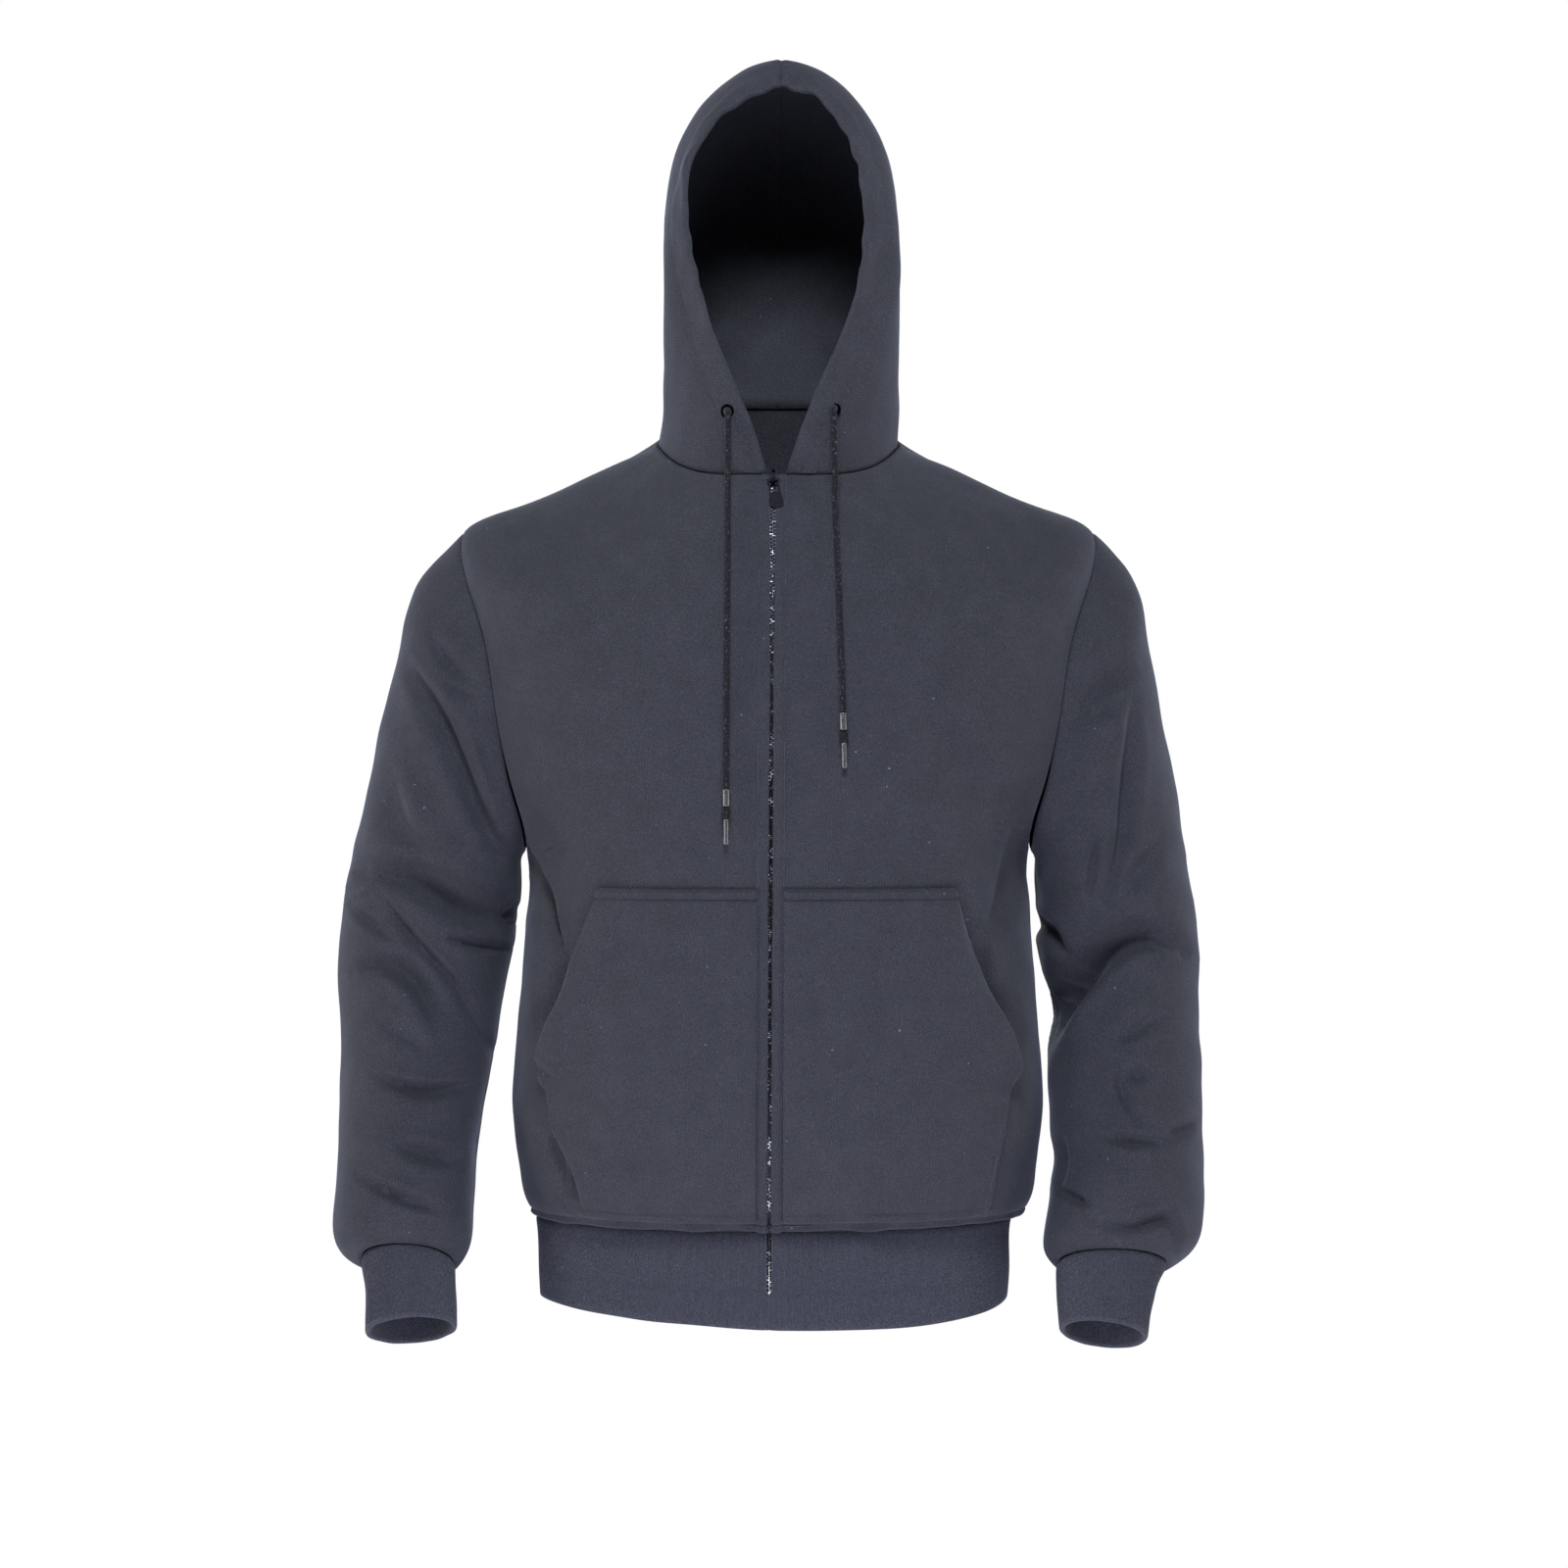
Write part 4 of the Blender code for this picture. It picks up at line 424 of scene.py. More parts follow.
# roughness | colours | grain of the colour: scale, detail, roughness | knit loop: width, height | its share
# of the relief | nap: scale, detail, roughness | bump: strength, distance | sheen: weight, roughness
TEXTILES = {
    "fleece_cloth": (0.95, FLEECE, None, (0.0012, 0.0010), 0.18, (750, 4.0, 0.7), (0.55, 0.00035),
                     (0.13, 0.38)),
    "rib_knit": (0.93, RIB, (900, 2.0, 0.7), (0.0009, 0.0012), 0.3, (800, 3.0, 0.65), (0.45, 0.0003),
                 (0.13, 0.38)),
    "cord_braid": (0.80, BRAID, (620, 1.0, 0.5), None, 0, (1600, 3.0, 0.6), (0.5, 0.0003), (0.07, 0.4)),
    "sewing_thread": (0.70, THREAD, (700,), None, 0, None, None, (0.1, 0.4)),
    "zip_tape_weave": (0.88, TAPE, (900,), (0.0006, 0.0006), 1, None, (0.4, 0.00012), None),
    "pale_floor": (0.9, FLOOR, (3,), None, 0, None, None, None),
}
# metal | colours along its wear, the zip teeth's bright stop being painted glints | roughness | fineness of
# the wear and the glints
METALS = {
    # zip teeth: mostly dark, with bright specks at high noise that are painted glints
    "zip_steel": ([(0.53, (0.045, 0.045, 0.055)), (0.62, (0.85, 0.85, 0.86))], 0.45, 230),
    "dull_steel": ([(0.35, (0.10, 0.10, 0.105)), (0.65, (0.24, 0.24, 0.25))], 0.42, 900),
    "black_enamel": ([(0.35, (0.0006, 0.0006, 0.0007)), (0.65, (0.004, 0.004, 0.005))], 0.34, 700),
}
# noise: scale, detail, roughness
HEATHER, CLOUD, CLOUD_SHARE, SPECKS = (1100, 2.0, 0.7), (45, 3.0, 0.55), 0.14, (330, 0.0, 0.5)
LINT, LINT_ABOVE, LINT_SHARE = (0.30, 0.31, 0.34), 0.895, 0.35
WEAR_AND_GLINTS, WEAR_SPREAD, WEAR_SMOOTH, WEAR_BUMP = (5.0, 0.7), 0.25, 0.12, (0.12, 0.0001)   # of the metals
WALE, WALE_TINT = 0.0021, 0.030      # faint knit lines up the cloth, in its colour
WALE_SHARE = 0.6                     # of the knit's relief, the rest is its courses
SHEEN_TINT, SOFT_SPECULAR = (0.70, 0.77, 1.0), 0.25
FLOOR_HEIGHT, FLOOR_RADIUS, FLOOR_SIDES = -1.45, 1.8, 96
WORLD_STRENGTH, WORLD_TINT = 0.12, (0.95, 0.95, 1.0, 1)
CAMERA_PLACE, CAMERA_LENS, SENSOR = (0.0045, -2.8, -0.2614), 83.2, 36
MIDDLE = (0, 0, -0.26)
# light | place | aimed at | width, height | watts | colour
LIGHTS = [
    ("key", (-2.7, -0.75, -0.5), MIDDLE, (0.8, 1.4), 36, (1.0, 0.985, 0.95)),
    ("fill", (2.7, -0.65, -0.6), MIDDLE, (0.8, 1.4), 21, (1.0, 0.985, 0.95)),
    ("low", (0.05, -1.1, -1.15), (0, 0, -0.5), (1.2, 0.4), 13, (0.76, 0.79, 1.0)),
    ("rim_left", (-1.7, 0.7, 0.1), MIDDLE, (0.7, 1.8), 18, (0.86, 0.87, 1.0)),
    ("rim_right", (1.7, 0.7, 0.1), MIDDLE, (0.7, 1.8), 18, (0.86, 0.87, 1.0)),
    ("hood", (0.0, -1.5, 1.3), (0, 0, 0.25), (0.6, 0.6), 42, (0.84, 0.88, 1.0)),
    ("back", (0.0, 2.4, 0.5), MIDDLE, (1.4, 1.4), 44, (1, 1, 1)),
]


# ---- surfaces ----
def through(knots, values, at):
    """Natural cubic curve through rows of values, read at any places along the knots."""
    knots, values, at = (np.asarray(part, float) for part in (knots, values, at))
    step = np.diff(knots)
    count = len(knots)
    system = np.zeros((count, count))
    load = np.zeros_like(values)
    system[0, 0] = system[-1, -1] = 1.0
    for i in range(1, count - 1):
        system[i, i - 1:i + 2] = step[i - 1], 2 * (step[i - 1] + step[i]), step[i]
        slopes = np.diff(values[i - 1:i + 2], axis=0)
        load[i] = 6 * (slopes[1] / step[i] - slopes[0] / step[i - 1])
    bend = np.linalg.solve(system, load)
    cell = np.clip(np.searchsorted(knots, at) - 1, 0, count - 2)
    width = step[cell][..., None]
    low = (knots[cell + 1] - at)[..., None] / width
    high = (at - knots[cell])[..., None] / width
    curve = (low**3 - low) * bend[cell] + (high**3 - high) * bend[cell + 1]
    return low * values[cell] + high * values[cell + 1] + curve * width**2 / 6


def columns_of(table, at):
    """The other columns of a table, read at any places down its first one."""
    table = np.array(table, float)
    return np.moveaxis(through(table[:, 0], table[:, 1:], at), -1, 0)


def smooth(t):
    t = np.clip(t, 0, 1)
    return t * t * (3 - 2 * t)


def power_cos_sin(angle, fullness):
    c, s = np.cos(np.radians(angle)), np.sin(np.radians(angle))
    share = 2 / fullness
    return c, np.sign(c) * np.abs(c) ** share, np.sign(s) * np.abs(s) ** share


def torso(angle, up):
    """Body surface: angle 0 at the centre front, 90 at the wearer's left side, 180 at the back."""
    angle, up = np.broadcast_arrays(np.asarray(angle, float), np.asarray(up, float))
    half, side_y, side_z, front_y, front_z, back_y, back_z, fullness = columns_of(RINGS, up)
    c, reach, across = power_cos_sin(angle, fullness)
    lift = c * c * (3 - 2 * np.abs(c))
    lean = np.where(c > 0, ZIP_LEAN_HEM + ZIP_LEAN_RISE * up, 0) * c**LINE_SHARPNESS
    x = half * across + lean
    y = side_y + (np.where(c > 0, front_y, back_y) - side_y) * np.abs(reach)
    z = side_z + (np.where(c > 0, front_z, back_z) - side_z) * lift
    return np.stack([x, y, z], -1)


def angle_at(distance, up):
    """Angle of the front surface at this distance from the zip line."""
    half, fullness = columns_of(RINGS, up)[[0, 7]]
    return np.degrees(np.arcsin((distance / half) ** (fullness / 2)))


def armhole(turn):
    """Angle and height on the body of the armhole: turn 0 at the shoulder tip, 180 at the armpit."""
    s, c = np.sin(np.radians(turn)), np.cos(np.radians(turn))
    reach = np.where(s > 0, ARMHOLE_FRONT, ARMHOLE_BACK) * s
    return 90 - reach, ARMPIT + (SHOULDER_TIP - ARMPIT) * (1 + c) / 2


def side_limit(up, front):
    """Angle from the side seam that the armhole takes away from a body panel at this height."""
    level = np.clip((2 * up - ARMPIT - SHOULDER_TIP) / (SHOULDER_TIP - ARMPIT), -1, 1)
    return (ARMHOLE_FRONT if front else ARMHOLE_BACK) * np.sqrt(1 - level**2)


def limb_section(table, down, c, s, tilt):
    """Section of a sleeve or a cuff between its outer and inner line, leant by its tilt."""
    outer_x, outer_z, inner_x, inner_z, mid_y, depth = columns_of(table, down)
    x = (outer_x + inner_x) / 2 + (outer_x - inner_x) / 2 * c
    y = mid_y - depth * s * np.cos(tilt)
    z = (outer_z + inner_z) / 2 + (outer_z - inner_z) / 2 * c + depth * s * np.sin(tilt)
    return np.stack([x, y, z], -1)


def sleeve_section(side, turn, down):
    table = SLEEVES[side]
    here, later = columns_of(table, down), columns_of(table, down + TILT_STEP)
    drop = (here[1] + here[3] - later[1] - later[3]) / 2
    tilt = np.arctan2(here[4] - later[4], np.maximum(drop, LEAST_DROP))
    _, c, s = power_cos_sin(turn, SLEEVE_FULLNESS)
    return limb_section(table, down, c, s, tilt)


def sleeve(side, turn, down):
    """Sleeve on the left of the body: turn 0 on the outer line, 90 in front, 180 under the arm."""
    turn, down = np.broadcast_arrays(np.asarray(turn, float), np.asarray(down, float))
    start = torso(*armhole(turn)) - sleeve_section(side, turn, np.zeros_like(down))
    return sleeve_section(side, turn, down) + start * smooth(1 - down / CAP_EASE)[..., None]


def cuff_section(side, turn, down):
    c, s = np.cos(np.radians(turn)), np.sin(np.radians(turn))
    return limb_section(CUFFS[side], down, c, s, CUFF_TILT)


def cuff(side, turn, down):
    """Cuff on the left of the body, its top on the sleeve's lower edge."""
    turn, down = np.broadcast_arrays(np.asarray(turn, float), np.asarray(down, float))
    top = np.zeros_like(down)
    start = sleeve(side, turn, top + CUFF_JOIN) - cuff_section(side, turn, top)
    return cuff_section(side, turn, down) + start * smooth(1 - down / CUFF_EASE)[..., None]


def hem_band(angle, down):
    angle, down = np.broadcast_arrays(np.asarray(angle, float), np.asarray(down, float))
    half, side_z, front_y, front_z, back_y, back_z = columns_of(HEM_BAND, down)
    c, reach, across = power_cos_sin(angle, HEM_FULLNESS)
    lean = (ZIP_LEAN_HEM - HEM_MIDDLE[0]) * np.where(c > 0, c**LINE_SHARPNESS, 0)
    x = HEM_MIDDLE[0] + half * across + lean
    y = HEM_MIDDLE[1] + (np.where(c > 0, front_y, back_y) - HEM_MIDDLE[1]) * np.abs(reach)
    lift = c * c * (3 - 2 * np.abs(c))
    ride = HEM_LIFT * down * np.clip(-across * reach, 0, 1)
    z = side_z + (np.where(c > 0, front_z, back_z) - side_z) * lift + ride
    return np.stack([x, y, z], -1)


def hood(side, arches, steps):
    """Grid of half the hood: arch 0 on the face edge to 1 on the back of the neck, step 0 to 1 up."""
    table = [FACE_EDGE[side]] + HOOD
    knots = [row[0] for row in table] + [1.0]
    net = [[torso(row[1], NECK), *(np.array(point) for point in row[2:])] for row in table]
    net.append([torso(angle, NECK) for angle in NECK_AT_BACK])
    net = np.array(net)
    net = np.concatenate([net, net[:, -2:-4:-1] * (-1, 1, 1)], axis=1)   # runs on past the seam
    knots_up = np.arange(net.shape[1]) / (len(NECK_AT_BACK) - 1)
    rows = through(knots, net.reshape(len(knots), -1), arches).reshape(-1, len(knots_up), 3)
    lifted = through(knots_up, rows.transpose(1, 0, 2).reshape(len(knots_up), -1), steps)
    return lifted.reshape(len(steps), len(arches), 3).transpose(1, 0, 2)


def outward(surface, across, along, nudge):
    """Unit normals of a surface by small steps both ways."""
    first = surface(across + nudge[0], along) - surface(across - nudge[0], along)
    second = surface(across, along + nudge[1]) - surface(across, along - nudge[1])
    normal = np.cross(first, second)
    return normal / np.linalg.norm(normal, axis=-1, keepdims=True)


# ---- folds ----
def sunk(piece, points, normals):
    """The piece's points with its largest folds pressed in along the normals."""
    depth = np.zeros(points.shape[:-1])
    along = np.linspace(0, 1, FOLD_STEPS)
    for name, facing, start, middle, end, half, deep in FOLDS:
        if name != piece:
            continue
        start, middle, end = (np.array(place) for place in (start, middle, end))
        control = 2 * middle - (start + end) / 2
        low, high = (1 - along)[:, None], along[:, None]
        line = low**2 * start + 2 * low * high * control + high**2 * end
        flat = points[..., None, [0, 2]] - line
        distance = np.linalg.norm(flat, axis=-1)
        nearest = distance.argmin(-1)
        taper = np.sin(np.pi * np.clip(along[nearest], *FOLD_ENDS)) ** FOLD_TAPER
        shown = smooth(0.5 + facing * normals[..., 1])
        depth += deep * taper * shown * np.exp(-(distance.min(-1) / half) ** 2)
    return points - normals * depth[..., None]


def mirrored(points, side):
    return points * (SIDES[side], 1, 1)


# ---- grids measured along the cloth ----
def marks(length, count, start=True, end=True):
    """Places along a length: close together by a seam, evenly spread between."""
    head = EDGE_MARKS if start else EDGE_MARKS[:1]
    tail = EDGE_MARKS if end else EDGE_MARKS[:1]
    middle = np.linspace(head[-1], length - tail[-1], count + 2)[1:-1]
    return np.concatenate([head, middle, length - tail[::-1]])


def columns_on(surface, first, last, rows, step, fine=FINE):
    """Angles of a grid whose columns are spread by their distance along the cloth."""
    angles = first[:, None] + (last - first)[:, None] * np.linspace(0, 1, fine)
    points = surface(angles, rows[:, None])
    run = np.cumsum(np.linalg.norm(np.diff(points, axis=1), axis=-1), axis=1)
    run = np.concatenate([np.zeros((len(rows), 1)), run], axis=1)
    count = int(np.ceil(run[:, -1].max() / step))
    placed = [marks(length, count) for length in run[:, -1]]
    return np.array([np.interp(at, *pair) for at, pair in zip(placed, zip(run, angles))])


def run_of(line):
    """Distance of each point of a line along it."""
    return np.concatenate([[0], np.cumsum(np.linalg.norm(np.diff(line, axis=0), axis=1))])


def densely(line, step):
    """A line again, with points a step apart."""
    run = run_of(line)
    at = np.linspace(0, run[-1], max(2, int(run[-1] / step) + 1))
    return np.stack([np.interp(at, run, line[:, axis]) for axis in range(line.shape[1])], -1)


# ---- relief of the cloth ----
def bell(distance, half):
    return np.exp(-(distance / half) ** 2)


def uneven(points, kind):
    """Soft unevenness of a kind: a few waves about its size, in seeded directions."""
    relief = np.zeros(points.shape[:-1])
    for height, seed, size in UNEVEN[kind]:
        draw = np.random.default_rng(seed)
        total = np.zeros(points.shape[:-1])
        for _ in range(WAVES):
            way = draw.normal(size=3)
            way *= 2 * np.pi / (np.linalg.norm(way) * size * draw.uniform(*WAVE_SIZES))
            total += np.sin(points @ way + draw.uniform(0, WAVE_START))
        relief += height * total / WAVES
    return relief


def calmed(distances, stretches):
    """1 inside a panel, falling to 0 over a stretch by each seam."""
    return math.prod(smooth(distance / stretch) for distance, stretch in zip(distances, stretches))


def ditch(distance, depth=DITCH):
    return -depth * bell(distance, DITCH_HALF)


def stitched_band(distance, band):
    """Raised double cloth from a seam to its row of stitches, which press a groove."""
    (width, height, groove), (starts, rise), (past, fall) = band, BAND_RISES, BAND_FALLS
    plateau = smooth((distance - starts) / rise) * smooth((width + past - distance) / fall)
    return height * plateau - groove * bell(distance - width, BAND_GROOVE)


def hem_roll(points, distance, band):
    """Puffed roll over a hem seam, uneven along its run, with a groove above it."""
    return stitched_band(distance, band) * (1 + uneven(points, "roll"))


def creases(region, points, normals):
    """Creases of a region as soft troughs between two low lips, measured in the front view."""
    total = np.zeros(points.shape[:-1])
    flat = points[..., [0, 2]].reshape(-1, 2)
    for facing, half, depth, steep, *places in CREASES[region]:
        places = np.array(places, float)
        knots = run_of(places)
        at = np.linspace(0, knots[-1], CREASE_STEPS)
        line = through(knots, places, at)
        way = np.gradient(line, axis=0)
        way /= np.linalg.norm(way, axis=1, keepdims=True)
        low, high = line.min(0) - CREASE_REACH * half, line.max(0) + CREASE_REACH * half
        near = ((flat > low) & (flat < high)).all(1)
        if not near.any():
            continue
        gap = flat[near][:, None] - line
        squared = (gap**2).sum(-1)
        nearest = squared.argmin(1)
        distance = np.sqrt(squared[np.arange(len(nearest)), nearest])
        step = gap[np.arange(len(nearest)), nearest]
        side = np.sign(way[nearest, 0] * step[:, 1] - way[nearest, 1] * step[:, 0])
        along = at[nearest] / knots[-1]
        width = half * (CREASE_NARROW + (1 - CREASE_NARROW) * np.sin(np.pi * np.clip(along, 0, 1)))
        share = distance / (width * (1 - STEEPNESS * steep * side))
        lip = LIP_LOW + (LIP_HIGH - LIP_LOW) * np.maximum(steep * side, 0)
        profile = lip * np.exp(-(((share - LIP_AT) / LIP_HALF) ** 2)) - np.exp(-(share**2))
        taper = np.sin(np.pi * np.clip(along, *CREASE_ENDS)) ** CREASE_BLUNT
        values = np.zeros(len(flat))
        values[near] = depth * taper * profile
        shown = smooth(0.5 + CREASE_TURN * facing * normals[..., 1])
        total += values.reshape(total.shape) * shown
    return total * CREASE_GAIN


# ---- meshes ----
def mesh_object(name, points, faces, material, uv=None, smooth=True):
    mesh = bpy.data.meshes.new(name)
    mesh.from_pydata([tuple(point) for point in points], [], faces)
    if uv is not None:
        layer = mesh.uv_layers.new(name="cloth")
        corners = np.zeros(len(mesh.loops), np.int32)
        mesh.loops.foreach_get("vertex_index", corners)
        layer.data.foreach_set("uv", np.asarray(uv)[corners].ravel())
    mesh.materials.append(material)
    if smooth:
        mesh.shade_smooth()
    made = bpy.data.objects.new(name, mesh)
    bpy.context.scene.collection.objects.link(made)
    return made


def fixed_normals(made):
    shape = bmesh.new()
    shape.from_mesh(made.data)
    bmesh.ops.recalc_face_normals(shape, faces=shape.faces)
    shape.to_mesh(made.data)
    shape.free()


def ring_faces(rings, sides, base=0):
    """Faces of a tube of rings from this point on, with both its ends closed."""
    faces = []
    for start in range(base, base + (rings - 1) * sides, sides):
        for a in range(sides):
            b = (a + 1) % sides
            faces.append([start + a, start + b, start + sides + b, start + sides + a])
    last = base + (rings - 1) * sides
    return faces + [list(reversed(range(base, base + sides))), list(range(last, last + sides))]


def border(rows, columns, ring):
    """Grid places round the border, as loops: one round a panel, two on a tube."""
    if ring:
        return [[(0, j) for j in range(columns)], [(rows - 1, j) for j in reversed(range(columns))]]
    loop = [(0, j) for j in range(columns)] + [(i, columns - 1) for i in range(1, rows)]
    loop += [(rows - 1, j) for j in reversed(range(columns - 1))]
    loop += [(i, 0) for i in reversed(range(1, rows - 1))]
    return [loop]


def edge_ways(points, ring, free):
    """Unit ways out of each border point along the cloth, none on a seam, and how far they bulge."""
    ways = np.zeros_like(points)
    sides = [(np.s_[0], np.s_[1], free[0]), (np.s_[-1], np.s_[-2], free[1])]
    if not ring:
        sides += [(np.s_[:, 0], np.s_[:, 1], free[2]), (np.s_[:, -1], np.s_[:, -2], free[3])]
    for edge, inside, bulges in sides:
        if bulges:
            way = points[edge] - points[inside]
            ways[edge] += way / np.maximum(np.linalg.norm(way, axis=-1, keepdims=True), 1e-9)
    length = np.linalg.norm(ways, axis=-1, keepdims=True)
    return ways / np.maximum(length, 1)


def shell(name, outer, inner, material, uv, ring=False, free=(0, 0, 0, 0), coarse=1, round_steps=4):
    """Closed shell of cloth: a fine outer grid, an inner grid of its own step, and rounded edges."""
    rows, columns = outer.shape[:2]
    lower = inner[::coarse, ::coarse]
    low_rows, low_columns = lower.shape[:2]
    points = [outer.reshape(-1, 3), lower.reshape(-1, 3)]
    uvs = [uv.reshape(-1, 2), uv[::coarse, ::coarse].reshape(-1, 2)]
    base = rows * columns
    total = base + low_rows * low_columns
    faces = []

    def sheet(at, count_rows, count_columns, flip):
        spans = count_columns if ring else count_columns - 1
        i, j = np.meshgrid(np.arange(count_rows - 1), np.arange(spans), indexing="ij")
        after = (j + 1) % count_columns
        quad = [i * count_columns + j, (i + 1) * count_columns + j,
                (i + 1) * count_columns + after, i * count_columns + after]
        quad = np.stack(quad[::-1] if flip else quad, -1).reshape(-1, 4) + at
        faces.extend(quad.tolist())

    sheet(0, rows, columns, False)
    sheet(base, low_rows, low_columns, True)
    ways = edge_ways(outer, ring, free)
    for loop in border(rows, columns, ring):
        outer_ids = [i * columns + j for i, j in loop]
        above = np.array([outer[place] for place in loop])
        below = np.array([inner[place] for place in loop])
        way = np.array([ways[place] for place in loop])
        texture = np.array([uv[place] for place in loop])
        middle, half = (above + below) / 2, (above - below) / 2
        bulge = np.linalg.norm(half, axis=1, keepdims=True) * way
        last = outer_ids
        for step in range(1, round_steps):
            turn = math.pi * step / round_steps
            ringed = middle + half * math.cos(turn) + bulge * math.sin(turn)
            now = list(range(total, total + len(loop)))
            points.append(ringed)
            uvs.append(texture)
            total += len(loop)
            for a in range(len(loop)):
                b = (a + 1) % len(loop)
                faces.append([last[b], last[a], now[a], now[b]])
            last = now
        inner_at = {}
        for a, (i, j) in enumerate(loop):
            if i % coarse == 0 and j % coarse == 0:
                inner_at[a] = base + (i // coarse) * low_columns + j // coarse
        stops = sorted(inner_at)
        for place, stop in enumerate(stops):
            following = stops[(place + 1) % len(stops)]
            span = (following - stop) % len(loop) or len(loop)
            half_way = span // 2
            for step in range(span):
                a, b = (stop + step) % len(loop), (stop + step + 1) % len(loop)
                corner = inner_at[stop] if step < half_way else inner_at[following]
                faces.append([last[b], last[a], corner])
                if step + 1 == half_way or (half_way == 0 and step == 0):
                    first = last[b] if half_way else last[a]
                    faces.append([first, inner_at[stop], inner_at[following]])
    made = mesh_object(name, np.concatenate(points), faces, material, np.concatenate(uvs))
    fixed_normals(made)
    made.data.shade_smooth()
    return made


# ---- stitches ----
stitches_made = []


def stitch_row(line, normals):
    """Short rounded stitches along a line on the cloth, gathered into one mesh later."""
    joint = densely(np.concatenate([line, normals], axis=1), STITCH_PITCH / 2)
    places, out = joint[:, :3], joint[:, 3:]
    for start in range(0, len(places) - 1, 2):
        a, b = places[start], places[start + 1]
        way = b - a
        length = np.linalg.norm(way)
        if length < STITCH_PITCH / 4:
            continue
        way /= length
        up = out[start] / np.linalg.norm(out[start])
        side = np.cross(way, up)
        side /= np.linalg.norm(side)
        middle = a + way * STITCH_PITCH / 2
        for share, radius, sink in STITCH_RINGS:
            centre = middle + way * STITCH_LONG * share + up * (STITCH_LIFT - STITCH_THICK * sink)
            for turn in range(STITCH_SIDES):
                angle = turn * 2 * math.pi / STITCH_SIDES
                spoke = up * math.cos(angle) + side * math.sin(angle) * STITCH_WIDE
                stitches_made.append(centre + spoke * STITCH_THICK * radius)


def make_stitches(material):
    points = np.array(stitches_made)
    rings, faces = len(STITCH_RINGS), []
    for base in range(0, len(points), rings * STITCH_SIDES):
        faces += ring_faces(rings, STITCH_SIDES, base)
    made = mesh_object("stitches", points, faces, material)
    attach(made, "garment")
    return made


# ---- places along a grid ----
def thinned(values, coarse, axis=0):
    """Grid lines resampled so that their last one is also a line of the coarse inner grid."""
    count = values.shape[axis]
    at = np.linspace(0, count - 1, math.ceil((count - 1) / coarse) * coarse + 1)
    return np.apply_along_axis(lambda line: np.interp(at, np.arange(count), line), axis, values)


def reach_from(points, axis, end):
    """Distance of each grid point along the cloth from one edge of the grid."""
    steps = np.linalg.norm(np.diff(points, axis=axis), axis=-1)
    zero = np.zeros_like(np.take(steps, [0], axis=axis))
    run = np.concatenate([zero, np.cumsum(steps, axis=axis)], axis=axis)
    return run if end == 0 else np.take(run, [-1], axis=axis) - run


def cloth_uv(points):
    """Texture places in metres along the cloth, across and up."""
    across = reach_from(points, 1, 0)
    middle = across[:, [across.shape[1] // 2]]
    return np.stack([across - middle, reach_from(points, 0, 0)], -1)


def unit(vectors):
    return vectors / np.maximum(np.linalg.norm(vectors, axis=-1, keepdims=True), 1e-12)


def line_across(points, normals, distance, value, axis):
    """Line on a grid at one distance from an edge, with its normals."""
    grid = np.moveaxis(np.concatenate([points, normals], -1), axis, 0)
    away = np.moveaxis(distance, axis, 0)
    line = []
    for j in range(grid.shape[1]):
        order = np.argsort(away[:, j])
        line.append([np.interp(value, away[order, j], grid[order, j, k]) for k in range(6)])
    line = np.array(line)
    return line[:, :3], line[:, 3:]


def stitched(outer, normals, distance, value, axis, kept=lambda line: slice(None)):
    """Row of stitches on a grid at one distance from an edge, where it is kept."""
    line, out = line_across(outer, normals, distance, value, axis)
    chosen = kept(line)
    stitch_row(line[chosen], out[chosen])


def four_edges(points):
    """Distances along the cloth from a grid's first and last column, and its first and last row."""
    return (reach_from(points, axis, end) for axis in (1, 0) for end in (0, 1))


# ---- body panels ----
def body_rows(coarse):
    low = marks(ARMPIT, int(ARMPIT / ROW_STEP), end=False)[:-1]
    hole = armhole(np.arange(180 - HOLE_STEP, 0, -HOLE_STEP))[1]
    high = SHOULDER_TIP + marks(NECK - SHOULDER_TIP, int((NECK - SHOULDER_TIP) / ROW_STEP), start=False)
    return thinned(np.concatenate([low, [ARMPIT], hole, high]), coarse)


def body_face(piece, side, angles, up, front_side):
    """Outer face of a body panel with its folds and unevenness, and its outward normals."""
    sign = SIDES[side]
    points = torso(angles * sign, up)
    normals = unit(outward(torso, angles * sign, up, NUDGES))
    points = sunk(piece, points, normals)
    limit = side_limit(up, front_side) * np.ones_like(angles)
    from_side = np.abs(np.abs(angles - 180 * (not front_side)) - (90 - limit)) * DEGREE_LONG
    calm = calmed((up, NECK - up, from_side), BODY_CALM)
    relief = (creases(piece, points, normals) + uneven(points, "body")) * calm
    return points + normals * relief[..., None], normals


def neck_and_hem(face, hem, neck):
    relief = ditch(neck, NECK_DITCH) + ditch(hem)
    return relief + stitched_band(neck, NECK_BAND) + hem_roll(face, hem, HEM_ROLL)


